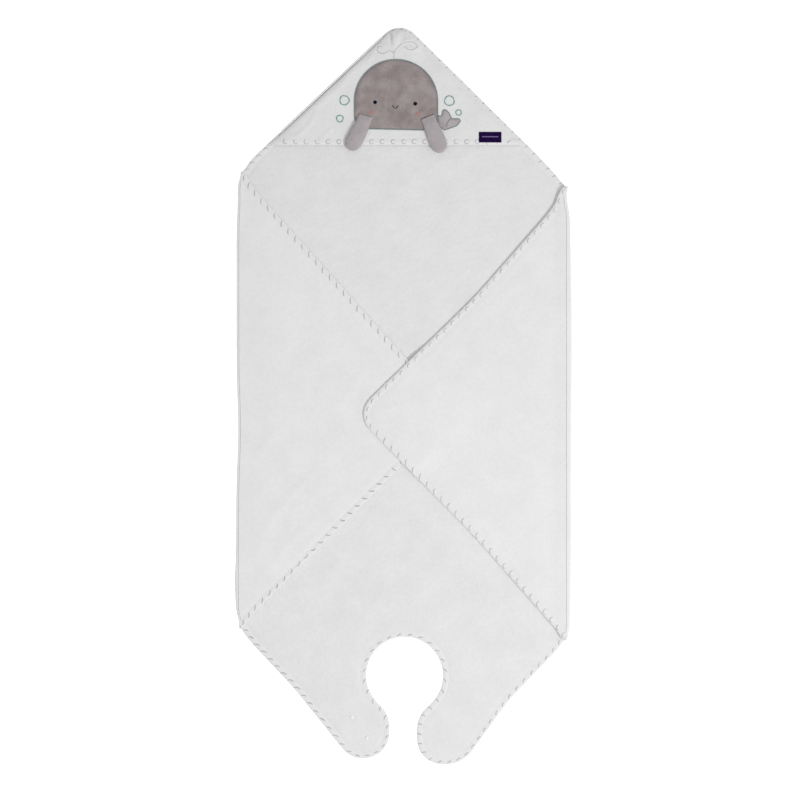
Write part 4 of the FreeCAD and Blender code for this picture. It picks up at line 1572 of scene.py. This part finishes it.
def socket_profile(radius, height):
    return [(radius - 0.3, 0), (radius, 0.3), (radius - 0.2, height * 0.8), (radius - 0.9, height),
            (3.4, height), (3.0, height * 0.8), (2.9, 0.5), (0.4, 0.4)]


studs = fastener("snap_studs", "stud_fronts", stud_profile, 1)
stud_backs = fastener("stud_caps", "stud_backs", cap_profile, -1)
sockets = fastener("snap_sockets", "socket_fronts", socket_profile, -1)
socket_backs = fastener("socket_caps", "socket_backs", cap_profile, 1)

for item in bpy.data.objects:
    if item.type == "MESH" and item.name not in frame["nodes"] and not item.name.endswith("_flipper"):
        item.data.set_sharp_from_angle(angle=math.radians(60))

# --- what moves with what: parented to bodies, or only baked in place -----------------
BODY = {"top": "back", "left_lower": "back", "neck": "back", "right_lower": "back",
        "left_flap": "left_flap", "right_flap": "right_flap"}


def with_fold(piece, side):
    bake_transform(piece)


def with_tab(piece, side):
    root = joint_place(side + "_tab_fold")
    axis = joint_axis(side + "_tab_fold")
    away = np.array([axis[1], -axis[0], 0])
    if away[1] > 0:
        away = -away
    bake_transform(piece)


for part in edge_parts:
    for piece in (tapes[part], *prints[part]):
        if part in BODY:
            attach(piece, BODY[part])
        elif "_fold_" in part:
            with_fold(piece, part.split("_")[0])
        else:
            with_tab(piece, part.split("_")[0])

for piece, body in ((back_cloth, "back"), (left_flap_cloth, "left_flap"), (right_flap_cloth, "right_flap")):
    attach(piece, body)
with_fold(left_fold_cloth, "left")
with_fold(right_fold_cloth, "right")
with_tab(left_tab_cloth, "left")
with_tab(right_tab_cloth, "right")

for side in ("left", "right"):
    for piece in (hood_sides[side][0], *hems[side], whale_sides[side][0], outline_sides[side]):
        with_hood(piece, side)
    for piece in flippers[side]:
        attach(piece, side + "_flipper")
for piece in (*eyes, *cheeks, mouth):
    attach(piece, "hood")
for piece, side in bubbles:
    with_hood(piece, side)
for piece in (tail, tail_outline, label, stripe):
    with_hood(piece, "right")
with_hood(welt, "left")
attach(spout, "back")
for side, halves_of_stud in (("left", (studs, stud_backs)), ("right", (sockets, socket_backs))):
    for piece in halves_of_stud:
        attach(piece, side + "_tab")

# --- the CAD solids these pieces stand for -------------------------------------------
LAYERS = ("outer_layer", "inner_layer")
STANDS_FOR = [
    (back_cloth, *("back_" + layer for layer in LAYERS)),
    (left_flap_cloth, *(node + layer for node in ("left_flap_", "left_flap_tip_") for layer in LAYERS)),
    (right_flap_cloth, *("right_flap_" + layer for layer in LAYERS)),
    (left_fold_cloth, *("left_fold_" + layer for layer in LAYERS)),
    (right_fold_cloth, *("right_fold_" + layer for layer in LAYERS)),
    (left_tab_cloth, *("left_tab_" + layer for layer in LAYERS)),
    (right_tab_cloth, *("right_tab_" + layer for layer in LAYERS)),
    (tapes["top"], "top_edge_binding"),
    (tapes["neck"], "neck_binding"),
    (tapes["left_lower"], "left_lower_binding"),
    (tapes["right_lower"], "right_lower_binding"),
    (tapes["left_flap"], "left_flap_binding", "left_flap_tip_binding"),
    (tapes["right_flap"], "right_flap_binding"),
    (tapes["left_tab"], "left_tab_binding"),
    (tapes["right_tab"], "right_tab_binding"),
    (tapes["left_fold_top"], "left_fold_binding"),
    (tapes["right_fold_top"], "right_fold_binding"),
    (hood_sides["left"][0], "hood_panel", "hood_tip"),
    (hems["left"][0], "hood_hem_binding"),
    (spout, "spout_stitches"),
    (whale_sides["left"][0], "whale_face"),
    (outline_sides["left"], "face_outline_stitch"),
    (tail, "whale_tail"),
    (eyes[0], "eye_stitches"),
    (cheeks[0], "cheek_stitches"),
    (mouth, "mouth_stitch"),
    (bubbles[0][0], "bubble_stitches"),
    (label, "woven_label"),
    *((flippers[side][0], *(f"{side}_flipper_{layer}" for layer in ("front", "backing", "wadding")))
      for side in ("left", "right")),
    (studs, "snap_studs"),
    (stud_backs, "stud_caps"),
    (sockets, "snap_sockets"),
    (socket_backs, "socket_caps"),
]
for piece, *nodes in STANDS_FOR:
    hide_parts(*nodes)

# --- the finish slots, listed only; no piece is given its slot here -------------------
SLOTS = {
    "terry_inner": [back_cloth, left_tab_cloth, right_tab_cloth, hood_sides["left"][0],
                    hood_sides["right"][0], welt],
    "terry_outer": [left_flap_cloth, right_flap_cloth, left_fold_cloth, right_fold_cloth],
    "edge_tape": [*tapes.values(), hems["left"][0], hems["right"][0]],
    "whale_plush": [whale_sides["left"][0], whale_sides["right"][0], tail],
    "flipper_plush": [flippers["left"][0], flippers["right"][0]],
    "teal_thread": [outline_sides["left"], outline_sides["right"], tail_outline, *(b for b, _ in bubbles)],
    "navy_thread": [*eyes, mouth],
    "coral_thread": cheeks,
    "grey_thread": [spout, flippers["left"][1], flippers["right"][1]],
    "label_weave": [label],
    "snap_plastic": [studs, stud_backs, sockets, socket_backs],
}
for slot, pieces in SLOTS.items():
    for piece in pieces:
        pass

# --- the sheets and pads --------------------------------------------------------------
back_prints = [p for part in ("top", "neck", "left_lower", "right_lower") for p in prints[part]]
back_tapes = [tapes[part] for part in ("top", "neck", "left_lower", "right_lower")]
declare(back_cloth, back_loop, back_tapes + back_prints)
declare(left_tab_cloth, left_tab_loop,
        [tapes["left_tab"], *prints["left_tab"], studs, stud_backs])
declare(right_tab_cloth, right_tab_loop,
        [tapes["right_tab"], *prints["right_tab"], sockets, socket_backs])
declare(left_flap_cloth, left_flap_loop, [tapes["left_flap"], *prints["left_flap"]])
declare(right_flap_cloth, right_flap_loop,
        [tapes["right_flap"], *prints["right_flap"]])
for side, way, fold, cloth in (("left", -1, LEFT_FOLD, left_fold_cloth),
                               ("right", 1, RIGHT_FOLD, right_fold_cloth)):
    low = min(v.co.y for v in cloth.data.vertices)
    high = max(v.co.y for v in cloth.data.vertices)
    ends = [side + "_fold_top", side + "_fold_bottom"]
    around = np.mean([roll_length(fold, way, y / MM) for y in np.linspace(low, high, 41)]) * MM
    [tapes[end] for end in ends] + [p for end in ends for p in prints[end]]
for side in ("left", "right"):
    cloth, loop = hood_sides[side]
    held_here = [hems[side][0], hems[side][1], outline_sides[side], *(b for b, s in bubbles if s == side)]
    held_here += [welt] if side == "left" else []
    if side == "right":
        held_here += [tail_outline, stripe, mouth, spout]
    declare(cloth, loop, held_here)

# --- floor, light and camera ------------------------------------------------------------
FLOOR_Z = -0.0004


def studio_floor():
    mesh = bpy.data.meshes.new("floor")
    reach = 6.0
    mesh.from_pydata([(-reach, -reach, FLOOR_Z), (reach, -reach, FLOOR_Z), (reach, reach, FLOOR_Z),
                      (-reach, reach, FLOOR_Z)], [], [(0, 1, 2, 3)])
    floor = bpy.data.objects.new("floor", mesh)
    bpy.context.scene.collection.objects.link(floor)
    paper = bpy.data.materials.new("floor_paper")
    paper.use_nodes = True
    shader = paper.node_tree.nodes["Principled BSDF"]
    shader.inputs["Base Color"].default_value = (0.9, 0.9, 0.9, 1)
    shader.inputs["Roughness"].default_value = 1.0
    shader.inputs["Specular IOR Level"].default_value = 0.0
    shader.inputs["Emission Color"].default_value = (1, 1, 1, 1)
    shader.inputs["Emission Strength"].default_value = 0.6
    mesh.materials.append(paper)


def lamp(name, energy, direction, size):
    """A soft light that shines towards the towel from a direction."""
    light = bpy.data.lights.new(name, "AREA")
    light.energy = energy
    light.size = size
    place = Vector(direction)
    item = bpy.data.objects.new(name, light)
    item.location = place
    item.rotation_euler = (-place).to_track_quat("-Z", "Y").to_euler()
    bpy.context.scene.collection.objects.link(item)


WORLD_LIGHT = 0.50
KEY_WATTS = 62.0
OVERHEAD_WATTS = 13.0


def studio():
    world = bpy.data.worlds.new("studio")
    bpy.context.scene.world = world
    world.use_nodes = True
    world.node_tree.nodes["Background"].inputs["Color"].default_value = (1, 1, 1, 1)
    world.node_tree.nodes["Background"].inputs["Strength"].default_value = WORLD_LIGHT
    lamp("key", KEY_WATTS, (1.85, -1.47, 3.0), 0.58)
    lamp("overhead", OVERHEAD_WATTS, (0.0, 0.0, 2.6), 1.2)


VIEW_WIDTH = 1.4024       # metres across the picture at the floor
CAMERA_HEIGHT = 6.0
CAMERA_PLACE = (-0.00526, -0.0070)


def camera():
    """Straight above, and far enough away for a flat view."""
    lens = bpy.data.cameras.new("camera")
    lens.sensor_width = 36.0
    lens.lens = lens.sensor_width * CAMERA_HEIGHT / VIEW_WIDTH
    eye = bpy.data.objects.new("camera", lens)
    eye.location = (*CAMERA_PLACE, CAMERA_HEIGHT)
    eye.rotation_euler = (0, 0, 0)
    bpy.context.scene.collection.objects.link(eye)
    bpy.context.scene.camera = eye


studio_floor()
studio()
camera()
bpy.context.scene.view_settings.view_transform = "Standard"
